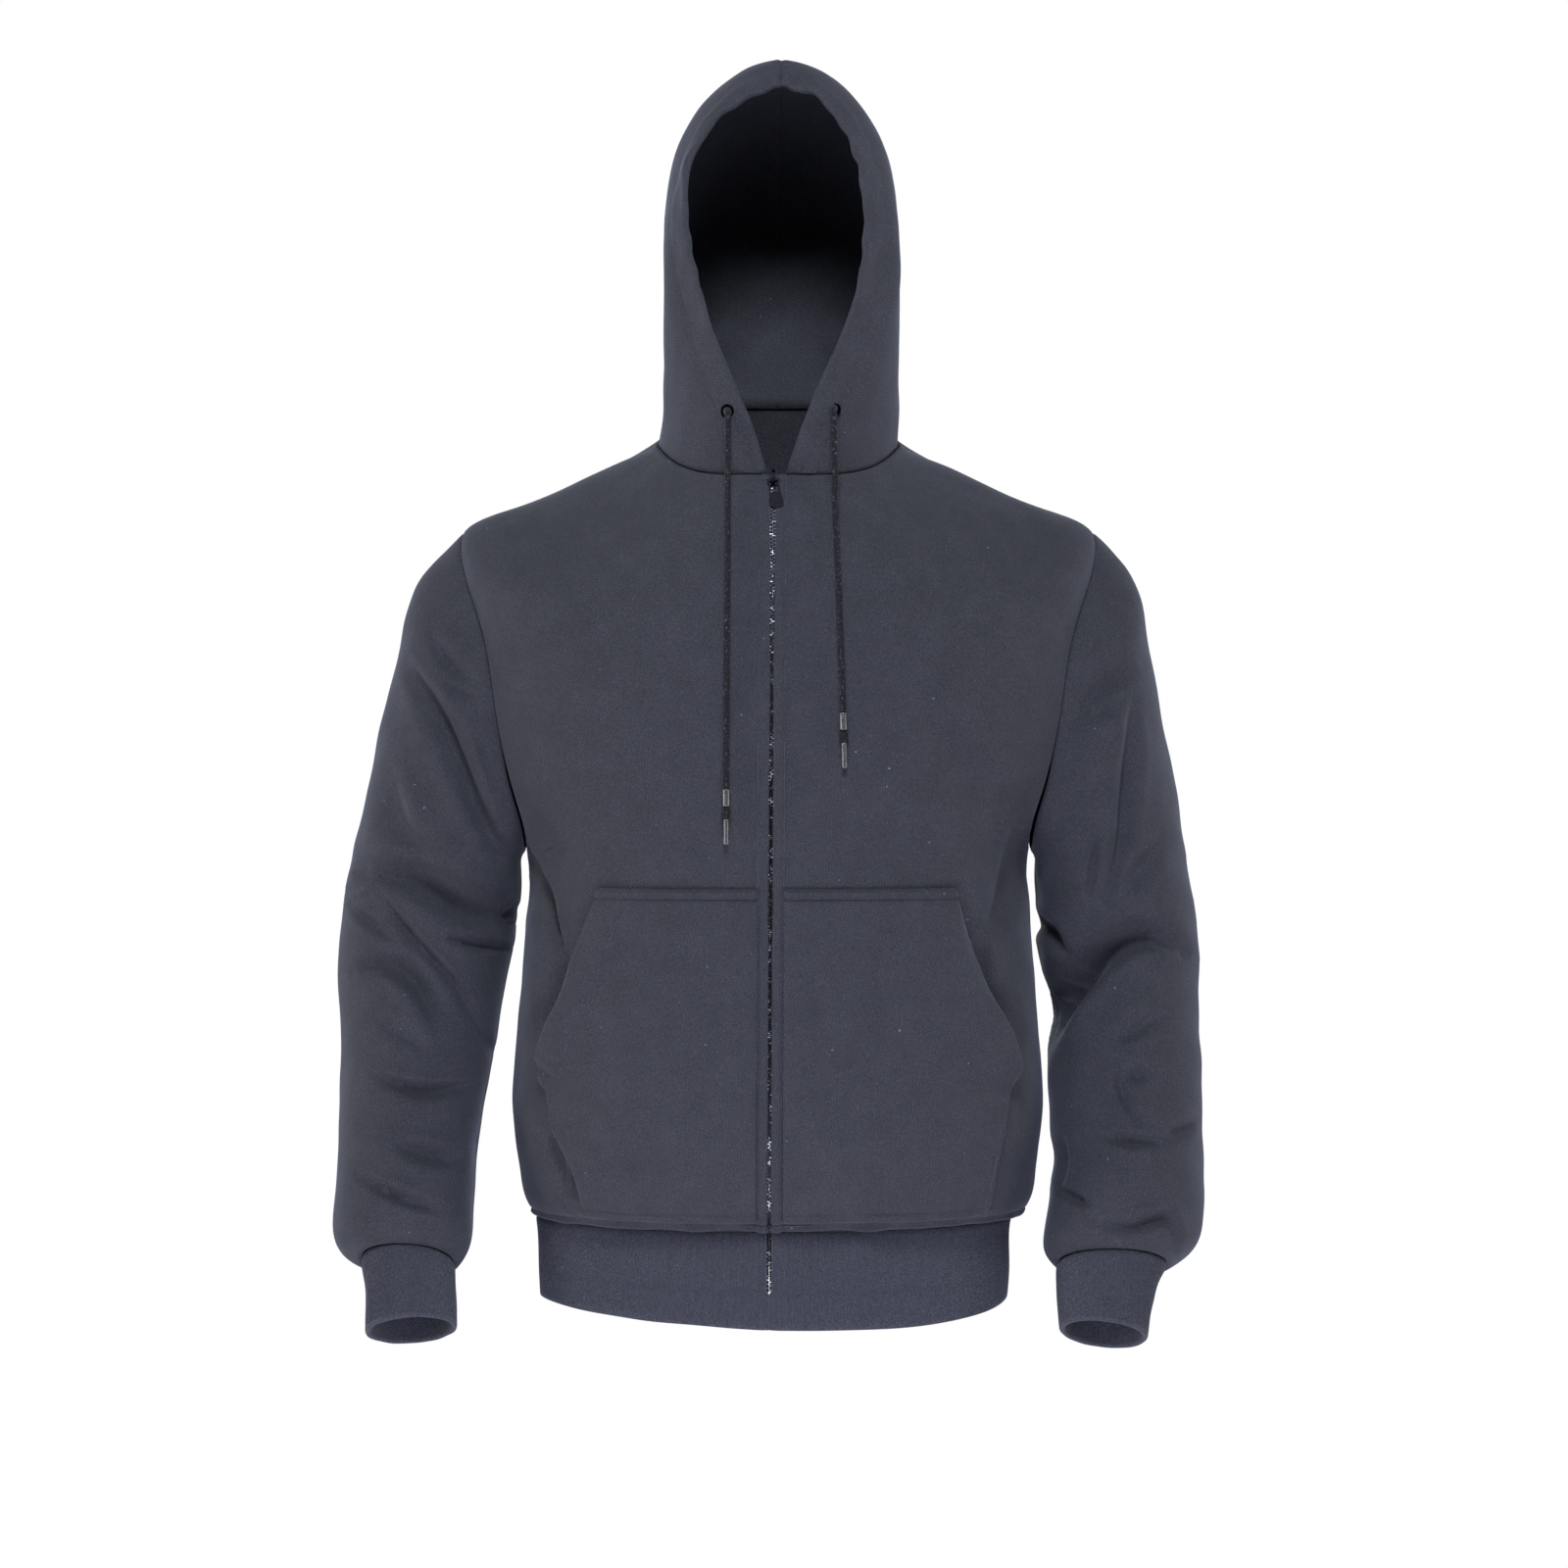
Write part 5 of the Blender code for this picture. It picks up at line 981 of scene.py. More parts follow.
def make_front(side, material):
    rows = body_rows(INNER_STEP)
    first, last = angle_at(ZIP_EDGE, rows), 90 - side_limit(rows, True)
    angles = columns_on(lambda a, u: torso(a * SIDES[side], u), first, last, rows, COLUMN_STEP)
    angles = thinned(angles, INNER_STEP, 1)
    up = rows[:, None] * np.ones_like(angles)
    face, normals = body_face("front_" + side, side, angles, up, True)
    zipped, sewn, hem, neck = four_edges(face)
    relief = ditch(sewn) + neck_and_hem(face, hem, neck)
    relief += ZIP_FOLD * smooth((ZIP_TOPSTITCH - zipped) / ZIP_FOLD_EDGE)
    relief -= ZIP_GROOVE * bell(zipped - ZIP_TOPSTITCH, ZIP_GROOVE_HALF)
    outer = face + normals * relief[..., None]
    made = shell("cloth_front_" + side, outer, face - normals * CLOTH, material, cloth_uv(face),
                 free=(0, 0, 1, 0), coarse=INNER_STEP)
    dressed(made, "fleece", "front_" + side)
    stitched(outer, normals, zipped, ZIP_TOPSTITCH, 1)
    stitched(outer, normals, neck, NECK_BAND[0], 0)
    stitched(outer, normals, hem, HEM_ROLL[0], 0)
    return made


def make_back(material):
    rows = body_rows(INNER_STEP)
    limit = side_limit(rows, False)
    angles = columns_on(torso, 90 + limit, 270 - limit, rows, BACK_COLUMN_STEP, BACK_FINE)
    angles = thinned(angles, INNER_STEP, 1)
    up = rows[:, None] * np.ones_like(angles)
    face, normals = body_face("back", "left", angles, up, False)
    left, right, hem, neck = four_edges(face)
    relief = ditch(left) + ditch(right) + neck_and_hem(face, hem, neck)
    outer = face + normals * relief[..., None]
    made = shell("cloth_back", outer, face - normals * CLOTH, material, cloth_uv(face), coarse=INNER_STEP)
    dressed(made, "fleece", "back")
    stitched(outer, normals, neck, NECK_BAND[0], 0)
    stitched(outer, normals, hem, HEM_ROLL[0], 0)
    return made


def dressed(piece, slot, *nodes):
    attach(piece, "garment")
    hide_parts(*nodes)


# ---- pockets ----
def pocket_edge(up):
    table = np.array(POCKET_EDGE)
    soft = sum(np.interp(up + shift, table[:, 0], table[:, 1]) for shift in EDGE_SOFT)
    return soft / len(EDGE_SOFT)


def make_pocket(side, material):
    tall = POCKET_HIGH - POCKET_LOW
    rows = POCKET_LOW + marks(tall, int(tall / POCKET_STEP))
    first, last = angle_at(POCKET_FROM_ZIP, rows), pocket_edge(rows)
    angles = columns_on(lambda a, u: torso(a * SIDES[side], u), first, last, rows, POCKET_STEP)
    up = rows[:, None] * np.ones_like(angles)
    under, normals = body_face("front_" + side, side, angles, up, True)
    zipped, edge, hem, top = four_edges(under)
    share = (up - POCKET_LOW) / tall
    across = zipped / (zipped + edge)
    opened = smooth((up - POCKET_OPENS_AT + MOUTH_EARLY) / MOUTH_RUN)
    sewn_side = 1 - (1 - opened) * smooth((across - POCKET_SEWN_FROM) / (1 - POCKET_SEWN_FROM))
    room = POCKET_ROOM * np.sin(np.pi * share) ** POCKET_FULL_UP * across**POCKET_FULL_ACROSS * sewn_side
    sewn = np.minimum(np.minimum(hem, top), zipped)
    sewn = np.minimum(sewn, edge + MOUTH_CLEAR * opened)
    thick = CLOTH * (POCKET_THIN + (1 - POCKET_THIN) * smooth(sewn / POCKET_THIN_RUN))
    relief = stitched_band(top, POCKET_TOP_BAND) + hem_roll(under, hem, POCKET_ROLL)
    relief += stitched_band(edge, POCKET_MOUTH_BAND) * opened
    relief += stitched_band(edge, POCKET_SIDE_BAND) * (1 - opened)
    inner = under + normals * (SEAM_GAP + room)[..., None]
    outer = inner + normals * (thick + relief)[..., None]
    made = shell("cloth_pocket_" + side, outer, inner, material, cloth_uv(under), free=(0, 0, 0, 1))
    dressed(made, "fleece", "pocket_" + side)
    by_mouth = rows > POCKET_OPENS_AT - MOUTH_STITCH
    stitched(outer, normals, top, POCKET_TOP_BAND[0], 0)
    stitched(outer, normals, top, POCKET_TOP_STITCH, 0)
    stitched(outer, normals, edge, POCKET_MOUTH_BAND[0], 1, lambda line: by_mouth)
    stitched(outer, normals, edge, POCKET_SIDE_STITCH, 1, lambda line: ~by_mouth)
    return made


# ---- sleeves and cuffs ----
def ring_normals(side, surface, turns, downs):
    return outward(lambda turn, down: surface(side, turn, down), turns, downs, SLEEVE_NUDGES)


def make_sleeve(side, material):
    downs = thinned(marks(CUFF_JOIN, int(CUFF_JOIN / SLEEVE_ROW_STEP)), INNER_STEP)
    turns, downs = np.meshgrid(np.arange(SLEEVE_COLUMNS) * 360 / SLEEVE_COLUMNS, downs)
    own = ring_normals(side, sleeve, turns, downs)
    angles, heights = armhole(turns[0])
    body = outward(torso, angles, heights, NUDGES)
    from_top = np.minimum(turns[0], 360 - turns[0])
    share = smooth((UNDER_ARM_TO - from_top) / (UNDER_ARM_TO - UNDER_ARM_FROM))[:, None]
    fade = smooth(1 - downs / SLEEVE_TURN_RUN)[..., None]
    normals = unit(own * (1 - share * fade) + body * share * fade)
    points, normals = mirrored(sleeve(side, turns, downs), side), mirrored(normals, side)
    points = sunk("sleeve_" + side, points, normals)
    top, cuffed = reach_from(points, 0, 0), reach_from(points, 0, 1)
    calm = calmed((top, cuffed), SLEEVE_CALM)
    relief = (creases("sleeve_" + side, points, normals) + uneven(points, "sleeve")) * calm
    face = points + normals * relief[..., None]
    under_arm = np.abs(turns - 180) / 360 * SLEEVE_GIRTH
    relief = ditch(top) + ditch(cuffed) + ditch(under_arm, UNDER_ARM_DITCH)
    outer = face + normals * relief[..., None]
    across = np.cumsum(np.linalg.norm(np.diff(points, axis=1, append=points[:, :1]), axis=-1), axis=1)
    uv = np.stack([across, top], -1)
    made = shell("cloth_sleeve_" + side, outer, face - normals * CLOTH, material, uv,
                 ring=True, coarse=INNER_STEP)
    dressed(made, "fleece", "sleeve_" + side)
    return made


def ribs(count, points):
    """Rounded knit ribs by how many of them lie behind each point, each a little uneven."""
    wave = np.cos(2 * np.pi * count + uneven(points, "rib"))
    return RIB_DEEP * (np.abs(wave * 0.5 + 0.5) ** RIB_ROUND - 1)


def make_cuff(side, material):
    around = RIB_SAMPLES * CUFF_RIBS
    downs = thinned(marks(CUFF_LENGTH, CUFF_ROW_COUNT), RIB_INNER_STEP)
    turns, downs = np.meshgrid(np.arange(around) * 360 / around, downs)
    points = mirrored(cuff(side, turns, downs), side)
    normals = mirrored(ring_normals(side, cuff, turns, downs), side)
    top, bottom = reach_from(points, 0, 0), reach_from(points, 0, 1)
    relief = ribs(turns / 360 * CUFF_RIBS, points) * smooth(bottom / CUFF_RIBS_END) + ditch(top, CUFF_DITCH)
    relief += uneven(points, "cuff") * smooth(top / CUFF_CALM)
    outer = points + normals * relief[..., None]
    uv = np.stack([turns / 360 * CUFF_GIRTH, downs], -1)
    made = shell("cloth_cuff_" + side, outer, points - normals * RIB_CLOTH, material, uv,
                 ring=True, free=(0, 1, 0, 0), coarse=RIB_INNER_STEP)
    dressed(made, "ribbing", "cuff_" + side)
    return made


# ---- hem band ----
def hem_angle(distance, down):
    half = columns_of(HEM_BAND, down)[0]
    return np.degrees(np.arcsin((distance / half) ** (HEM_FULLNESS / 2)))


def make_hem(material):
    downs = np.array([*HEM_TOP_ROWS, *np.linspace(HEM_EVEN_FROM, 1, HEM_ROW_COUNT)])
    downs = thinned(downs, RIB_INNER_STEP)
    open_until = smooth((CHAIN_ENDS_AT + BAND_CLOSES_BY - downs) / BAND_CLOSES_BY)
    edge = hem_angle(SEAM_GAP + (ZIP_EDGE - SEAM_GAP) * open_until, downs)
    count = RIB_SAMPLES * HEM_RIBS
    angles = edge[:, None] + (360 - 2 * edge)[:, None] * np.linspace(0, 1, HEM_FINE)
    run = reach_from(hem_band(angles, downs[:, None]), 1, 0)
    shares = np.linspace(0, 1, count + 1)
    wanted = run[:, -1:] * shares
    angles = np.array([np.interp(at, *pair) for at, pair in zip(wanted, zip(run, angles))])
    down = downs[:, None] * np.ones_like(angles)
    points = hem_band(angles, down)
    normals = -outward(hem_band, angles, down, HEM_NUDGES)
    top, bottom = reach_from(points, 0, 0), reach_from(points, 0, 1)
    side = np.minimum(shares, shares[::-1]) * run[:, -1:]
    relief = ribs(np.arange(count + 1) / RIB_SAMPLES, points) * smooth(bottom / HEM_RIBS_END)
    relief += ditch(top) - HEM_END_DIP * bell(side, HEM_END_HALF)
    relief += uneven(points, "hem") * smooth(top / HEM_CALM)
    outer = points + normals * relief[..., None]
    uv = np.stack([run[:, -1:] * shares, bottom], -1)
    made = shell("cloth_hem", outer, points - normals * RIB_CLOTH, material, uv,
                 free=(0, 1, 1, 1), coarse=RIB_INNER_STEP)
    dressed(made, "ribbing", "hem_rib")
    return made


# ---- hood ----
def hood_grid():
    arches = [np.linspace(0, HOOD_FINE_ARCH, HOOD_ARCHES_FINE)[:-1],
              np.linspace(HOOD_FINE_ARCH, 1, HOOD_ARCH_COUNT)]
    steps = [np.linspace(0, HOOD_FINE_FOOT, HOOD_STEPS_FINE)[:-1],
             np.linspace(HOOD_FINE_FOOT, HOOD_FINE_TOP, HOOD_STEP_COUNT),
             np.linspace(HOOD_FINE_TOP, 1, HOOD_STEPS_FINE)[1:]]
    return np.concatenate(arches), np.concatenate(steps)


def make_hood(side, material):
    arches, steps = hood_grid()
    points = hood(side, arches, steps)
    table = [FACE_EDGE[side]] + HOOD
    knots, feet = [row[0] for row in table] + [1.0], [row[1] for row in table] + [NECK_AT_BACK[0]]
    foot = torso(through(knots, np.array(feet, float)[:, None], arches)[:, 0], NECK)
    points += (foot - points[:, 0])[:, None] * smooth(1 - steps / FOOT_EASE)[:, None]
    back_marks = np.linspace(0, 1, len(NECK_AT_BACK))
    tail = torso(np.interp(steps, back_marks, NECK_AT_BACK), NECK)
    points += (tail - points[-1])[None] * smooth(1 - (1 - arches) / BACK_EASE)[:, None, None]
    over = np.gradient(points, axis=0)
    normals = unit(np.cross(over, np.gradient(points, axis=1)))
    if (normals * (points - HOOD_HEART)).sum() < 0:
        normals = -normals
    normals[:, -1, 0] = 0
    level = unit((points - NECK_CENTRE) * (1, 1, 0))
    near = smooth(1 - steps / FOOT_LEVEL)[None, :, None] * np.ones_like(points)
    near = np.maximum(near, smooth(1 - (1 - arches) / BACK_LEVEL)[:, None, None])
    normals = unit(normals * (1 - near) + level * near)
    foot_share, back_share = smooth(1 - steps / HOOD_FOOT), smooth(1 - (1 - arches) / BACK_MIDDLE)
    middle_share = 1 - np.clip(foot_share[None] + back_share[:, None], 0, 1)
    middle = np.array((HOOD_MIDDLE, 0, 0)) * middle_share[..., None]
    points, normals = mirrored(points, side) + middle, mirrored(normals, side)
    level = mirrored(level, side)
    foot_run, centre, face_edge, back_run = four_edges(points)
    sewn = np.minimum(foot_run, back_run)
    calm = calmed((sewn, centre), HOOD_CALM)
    height = points[..., 2]
    relief = (creases("hood_" + side, points, normals) + uneven(points, "hood")) * calm
    face = points + normals * relief[..., None]
    in_channel = smooth((CHANNEL_WIDE - face_edge) / CHANNEL_RUN)
    relief = ditch(centre, HOOD_DITCH) + ditch(sewn, NECK_DITCH)
    relief += uneven(points, "pucker") * bell(centre, PUCKER_HALF)
    faint = smooth((CHANNEL_LINE_TOP - height) / CHANNEL_LINE_FADE)
    line_share = CHANNEL_LINE_FAINT + (1 - CHANNEL_LINE_FAINT) * faint
    relief -= CHANNEL_LINE * bell(face_edge - CHANNEL_WIDE, CHANNEL_LINE_HALF) * line_share
    relief += CHANNEL_ROUND * in_channel * np.sin(np.pi * np.clip(face_edge / CHANNEL_WIDE, 0, 1))
    relief += uneven(points, "scallop") * in_channel
    ripple = uneven(points, "ripple") * smooth((height - RIPPLE_FROM) / RIPPLE_OVER)
    lift = EDGE_LIFT * smooth((height - EDGE_LIFT_FROM) / EDGE_LIFT_OVER)
    edge_shift = (ripple * smooth(centre / RIPPLE_TOP) + lift) * smooth(1 - face_edge / RIPPLE_RUN)
    face = face + unit(np.gradient(points, axis=0)) * edge_shift[..., None]
    outer = face + normals * relief[..., None]
    thick = CLOTH + (CHANNEL_CLOTH - CLOTH) * in_channel
    inner = face - normals * thick[..., None]
    tuck = smooth(1 - sewn / TUCK_RUN)[..., None]         # seam allowance inside the neck
    inner = inner - (level * tuck + (0, 0, 1) * tuck) * TUCK
    made = shell("cloth_hood_" + side, outer, inner, material, cloth_uv(points), free=(1, 0, 0, 0))
    dressed(made, "fleece", "hood_" + side)
    stitched(outer, normals, face_edge, CHANNEL_WIDE, 0, lambda line: line[:, 2] < CHANNEL_LINE_TOP)
    return made


# ---- zip ----
def zip_line(distance, heights, behind):
    """Line down a front at this distance from the zip, then down the hem band to the chain's end."""
    on_body = torso(angle_at(abs(distance), heights) * np.sign(distance), heights)
    downs = np.array(ZIP_STOPS)
    on_band = hem_band(hem_angle(abs(distance), downs) * np.sign(distance), downs)
    on_body[..., 1] += behind
    on_band[..., 1] += behind + RIB_CLOTH - CLOTH
    settle = RIB_CLOTH - CLOTH + TAPE_CLOTH
    on_body[..., 1] += settle * smooth(1 - heights / SETTLE_OVER)
    return np.concatenate([on_band[::-1], on_body])


def make_tape(side, material):
    heights = np.linspace(0, NECK, TAPE_ROWS)
    places = np.linspace(TAPE_HIDDEN_EDGE, TAPE_OUT, TAPE_COLUMNS) * SIDES[side]
    face = np.stack([zip_line(place, heights, TAPE_BEHIND) for place in places], 1)
    outer = face + (0, TAPE_LIFT, 0)
    made = shell("zip_cloth_" + side, outer, face + (0, TAPE_CLOTH, 0), material, cloth_uv(face),
                 round_steps=2)
    dressed(made, "tape_cloth", "zip_tape_" + side)
    return made


def make_teeth(material):
    """Teeth of the two rows in turn, each a small rounded block that reaches past the middle."""
    heights = np.linspace(0, NECK - CHAIN_BELOW_NECK, CHAIN_PLACES)
    line = densely(zip_line(0.0, heights, CHAIN_BEHIND), TOOTH_PITCH)
    run = unit(np.gradient(line, axis=0))
    draw = np.random.default_rng(TOOTH_SEED)
    points, faces = [], []
    for place, (centre, up) in enumerate(zip(line, run)):
        hand = 1 if place % 2 else -1
        out = np.cross((1.0, 0, 0), up)
        out = out / np.linalg.norm(out)
        out = out if out[1] < 0 else -out
        base = len(points)
        tilt = draw.uniform(-TOOTH_TILT, TOOTH_TILT)
        for across in (-TOOTH_PAST * hand, TOOTH_REACH * hand):
            for share, proud in TOOTH:
                off = (proud - TOOTH_MIDDLE) * TOOTH_DEEP
                rise = (share - 0.5) * TOOTH_TALL + tilt * TOOTH_TIP
                points.append(centre + (across, 0, 0) + up * rise + out * off)
        faces += ring_faces(2, len(TOOTH), base)
    made = mesh_object("zip_teeth", points, faces, material, smooth=False)
    fixed_normals(made)
    dressed(made, "steel", "zip_chain")
    return made


# ---- eyelets, cords and their fittings ----
def turned(name, profile, top, way, material):
    """Solid turned about a line from top along way; the profile runs from end to end."""
    axis = way / np.linalg.norm(way)
    first = unit(np.cross(axis, (0.0, 1.0, 0.3)))
    second = np.cross(axis, first)
    angles = np.arange(TURNED_SIDES) * 2 * math.pi / TURNED_SIDES
    spokes = np.cos(angles)[:, None] * first + np.sin(angles)[:, None] * second
    points = np.concatenate([top + axis * along + spokes * radius for radius, along in profile])
    made = mesh_object(name, points, ring_faces(len(profile), TURNED_SIDES), material)
    fixed_normals(made)
    made.data.set_sharp_from_angle(angle=math.radians(SHARP_FROM))
    return made


def make_eyelet(side, material):
    """Rolled metal ring on the channel, with the dark of its bore behind."""
    corners = hood(side, *np.array(EYELET_CELL))
    down, over = corners[1, 0] - corners[1, 1], corners[0, 1] - corners[1, 1]
    centre = corners[1, 1] + over * (1 - EYELET_ACROSS[side]) + down * EYELET_DOWN
    centre = mirrored(centre, side) + (HOOD_MIDDLE, 0, 0)
    normal = np.cross(down, over)
    normal = mirrored(normal * -np.sign(normal[1]) / np.linalg.norm(normal), side)
    rise = np.linspace(0, math.pi, RIM_PLACES)
    middle, half = (EYELET_RADIUS + EYELET_BORE) / 2, (EYELET_RADIUS - EYELET_BORE) / 2
    tall = EYELET_THICK + EYELET_ROUND
    rolled = [(middle + half * math.cos(t), EYELET_LIFT + tall * math.sin(t)) for t in rise]
    profile = [(EYELET_RADIUS, -EYELET_SUNK), *rolled, (EYELET_BORE, -BORE_SUNK), (POINT, -BORE_SUNK)]
    made = turned("eyelet_ring_" + side, profile, centre + normal * EYELET_OFF, normal, material)
    dressed(made, "black_metal", "eyelet_" + side)
    return made


def swept(name, line, radius_at, sides, material):
    """Tube along a line, its radius given for each ring and turn, with closed ends."""
    way = unit(np.gradient(line, axis=0))
    across = unit(np.cross(way[0], (1.0, 0.2, 0.1)))
    turns = np.arange(sides) * 2 * math.pi / sides
    points = []
    for place, ahead in zip(line, way):
        across = unit(across - ahead * (across @ ahead))
        other = np.cross(ahead, across)
        radius = radius_at(len(points) // sides, turns)
        spokes = np.cos(turns)[:, None] * across + np.sin(turns)[:, None] * other
        points.extend(place + spokes * np.broadcast_to(radius, turns.shape)[:, None])
    run = np.arange(len(line)) * BRAID_STEP
    uv = np.stack(np.broadcast_arrays(turns[None] / (2 * math.pi), run[:, None] / BRAID_REPEAT), -1)
    made = mesh_object(name, points, ring_faces(len(line), sides), material, uv.reshape(-1, 2))
    fixed_normals(made)
    return made


def braided(row, turns):
    """Radius of a braid of eight strands, four each way, over and under in turn."""
    along = row * BRAID_STEP / BRAID_LAY * 2 * math.pi
    one, other = np.cos(STRANDS * turns + along), np.cos(STRANDS * turns - along)
    return CORD * (BRAID_CORE + BRAID_HIGH * np.maximum(one, other))


def make_cord(side, material):
    route = np.array(CORD_ROUTE[side], float)
    knots = run_of(route)
    line = densely(through(knots, route, np.linspace(0, knots[-1], CORD_PLACES)), BRAID_STEP)
    made = swept("cord_braid_" + side, line, braided, BRAID_SIDES, material)
    dressed(made, "braid", "drawcord_" + side)
    return made, line


def rounded_profile(radius, tall, edge):
    """Outline of a metal fitting: rounded ends and a slight waist."""
    turn = np.linspace(0, math.pi / 2, EDGE_PLACES)
    top = [(radius - edge + edge * math.sin(t), edge - edge * math.cos(t)) for t in turn]
    middle = [(radius - FITTING_WAIST, tall * share) for share in WAIST_AT]
    low = [(radius - edge + edge * math.sin(t), tall - edge + edge * math.cos(t)) for t in turn[::-1]]
    return [(POINT, 0.0), *top, *middle, *low, (POINT, tall)]


def make_cord_end(side, metal, cloth):
    """Metal sleeve, wound knot and aglet, one below the other."""
    top, bottom = (np.array(place) for place in CORD_END[side])
    length = np.linalg.norm(bottom - top)
    way = (bottom - top) / length
    start, made = 0.0, []
    for piece, radius, share, rounding in CORD_FITTINGS:
        tall = share * length - SEAM_GAP
        place = top + way * start
        name = f"end_{piece}_{side}"
        if piece == "knot":
            thing = make_knot(name, place, way, radius, tall, cloth)
        else:
            profile = rounded_profile(radius, tall, radius * rounding * FITTING_EDGE)
            thing = turned(name, profile, place, way, metal)
        dressed(thing, "braid" if piece == "knot" else "steel", f"cord_{side}_{piece}")
        made.append(thing)
        start += share * length
    return made


def make_knot(name, top, way, radius, tall, material):
    """Stopper knot: the cord wound about itself, each turn a soft roll."""
    def knot_radius(row, turns):
        share = row / (KNOT_ROWS - 1)
        bulge = math.sin(math.pi * min(max(share, KNOT_ENDS[0]), KNOT_ENDS[1])) ** KNOT_BLUNT
        rolls = np.abs(np.cos(KNOT_TURNS * 2 * math.pi * share + turns / 2))
        return radius * bulge * (1 - KNOT_ROLL + KNOT_ROLL * rolls)
    line = top + way * np.linspace(0, tall, KNOT_ROWS)[:, None]
    return swept(name, line, knot_radius, KNOT_SIDES, material)


# ---- materials ----
def linked(tree, kind, *sources, **settings):
    """A new node with its first inputs linked or set, and its other inputs set by name."""
    made = tree.nodes.new("ShaderNode" + kind)
    for name, value in settings.items():
        made.inputs[name].default_value = value
    for socket, value in zip(made.inputs, sources):
        if isinstance(value, (int, float)):
            socket.default_value = value
        elif value is not None:
            tree.links.new(value, socket)
    return made


def noise(tree, place, scale, detail=3.0, roughness=0.6):
    made = linked(tree, "TexNoise", place, Scale=scale, Detail=detail, Roughness=roughness)
    return made.outputs["Fac"]


def ramp(tree, value, stops):
    made = linked(tree, "ValToRGB", value)
    while len(made.color_ramp.elements) < len(stops):
        made.color_ramp.elements.new(0.5)
    for element, (place, colour) in zip(made.color_ramp.elements, stops):
        element.position = place
        element.color = (*colour, 1)
    return made.outputs["Color"]


def calc(tree, operation, first, second):
    made = linked(tree, "Math", first, second)
    made.operation = operation
    return made.outputs[0]


def blend(tree, first, first_share, second, second_share):
    return calc(tree, "ADD", calc(tree, "MULTIPLY", first, first_share),
                calc(tree, "MULTIPLY", second, second_share))


def wave(tree, distance, pitch):
    return calc(tree, "SINE", calc(tree, "MULTIPLY", distance, 2 * math.pi / pitch), 0.0)


def knit_waves(tree, uv, across, up):
    """Rows of tiny knit loops: ridges up the cloth, nicked by each course."""
    split = linked(tree, "SeparateXYZ", uv)
    wale, course = wave(tree, split.outputs[0], across), wave(tree, split.outputs[1], up)
    return blend(tree, wale, WALE_SHARE, course, 1 - WALE_SHARE)


def heathered(tree, body, uv):
    """Fleece's colour: heather and soft clouds, faint knit lines, and lint here and there."""
    heather, cloud = noise(tree, body, *HEATHER), noise(tree, body, *CLOUD)
    mixed = blend(tree, heather, 1 - CLOUD_SHARE, cloud, CLOUD_SHARE)
    wale = wave(tree, linked(tree, "SeparateXYZ", uv).outputs[0], WALE)
    mixed = calc(tree, "ADD", mixed, calc(tree, "MULTIPLY", wale, WALE_TINT))
    specks = calc(tree, "GREATER_THAN", noise(tree, body, *SPECKS), LINT_ABOVE)
    mix = tree.nodes.new("ShaderNodeMix")
    mix.data_type = "RGBA"
    mix.inputs[7].default_value = (*LINT, 1)
    tree.links.new(calc(tree, "MULTIPLY", specks, LINT_SHARE), mix.inputs[0])
    tree.links.new(ramp(tree, mixed, FLEECE), mix.inputs[6])
    return mix.outputs[2]


def bumped(tree, shader, height, strength, distance):
    bump = linked(tree, "Bump", Strength=strength, Distance=distance)
    tree.links.new(height, bump.inputs["Height"])
    tree.links.new(bump.outputs["Normal"], shader.inputs["Normal"])


def fresh(name, roughness, metallic=0.0):
    made = bpy.data.materials.new(name)
    made.use_nodes = True
    shader = made.node_tree.nodes["Principled BSDF"]
    shader.inputs["Roughness"].default_value = roughness
    shader.inputs["Metallic"].default_value = metallic
    place = made.node_tree.nodes.new("ShaderNodeTexCoord")
    return made, made.node_tree, shader, place.outputs["Object"], place.outputs["UV"]


def make_textile(name):
    """Cloth, cord, thread or floor paint, from its row of TEXTILES."""
    roughness, stops, grain, knit, knit_share, nap, bump, sheen = TEXTILES[name]
    made, tree, shader, body, uv = fresh(name, roughness)
    colour = ramp(tree, noise(tree, body, *grain), stops) if grain else heathered(tree, body, uv)
    tree.links.new(colour, shader.inputs["Base Color"])
    height = noise(tree, body, *nap) if nap else None
    if knit:
        loops = knit_waves(tree, uv, *knit)
        height = calc(tree, "ADD", calc(tree, "MULTIPLY", loops, knit_share), height) if nap else loops
    if bump:
        bumped(tree, shader, height, *bump)
    if sheen:
        weight, spread = sheen
        shader.inputs["Sheen Weight"].default_value = weight
        shader.inputs["Sheen Roughness"].default_value = spread
        shader.inputs["Sheen Tint"].default_value = (*SHEEN_TINT, 1)
        shader.inputs["Specular IOR Level"].default_value = SOFT_SPECULAR
    return made


def make_metal(name):
    """Metal with fine wear: its colour and roughness vary along small marks; on the zip's teeth the bright
    marks are painted glints.
    """
    stops, roughness, wear_and_glint_scale = METALS[name]
    made, tree, shader, body, _ = fresh(name, roughness, 1.0)
    wear_and_glints = noise(tree, body, wear_and_glint_scale, *WEAR_AND_GLINTS)
    # colour from the noise: wear on the fittings, painted glints on the zip's teeth
    tree.links.new(ramp(tree, wear_and_glints, stops), shader.inputs["Base Color"])
    spread = calc(tree, "ADD", calc(tree, "MULTIPLY", wear_and_glints, WEAR_SPREAD),
                  roughness - WEAR_SMOOTH)
    tree.links.new(spread, shader.inputs["Roughness"])
    bumped(tree, shader, wear_and_glints, *WEAR_BUMP)
    return made


# ---- studio ----
def placed(name, data, place):
    made = bpy.data.objects.new(name, data)
    made.location = place
    bpy.context.scene.collection.objects.link(made)
    return made


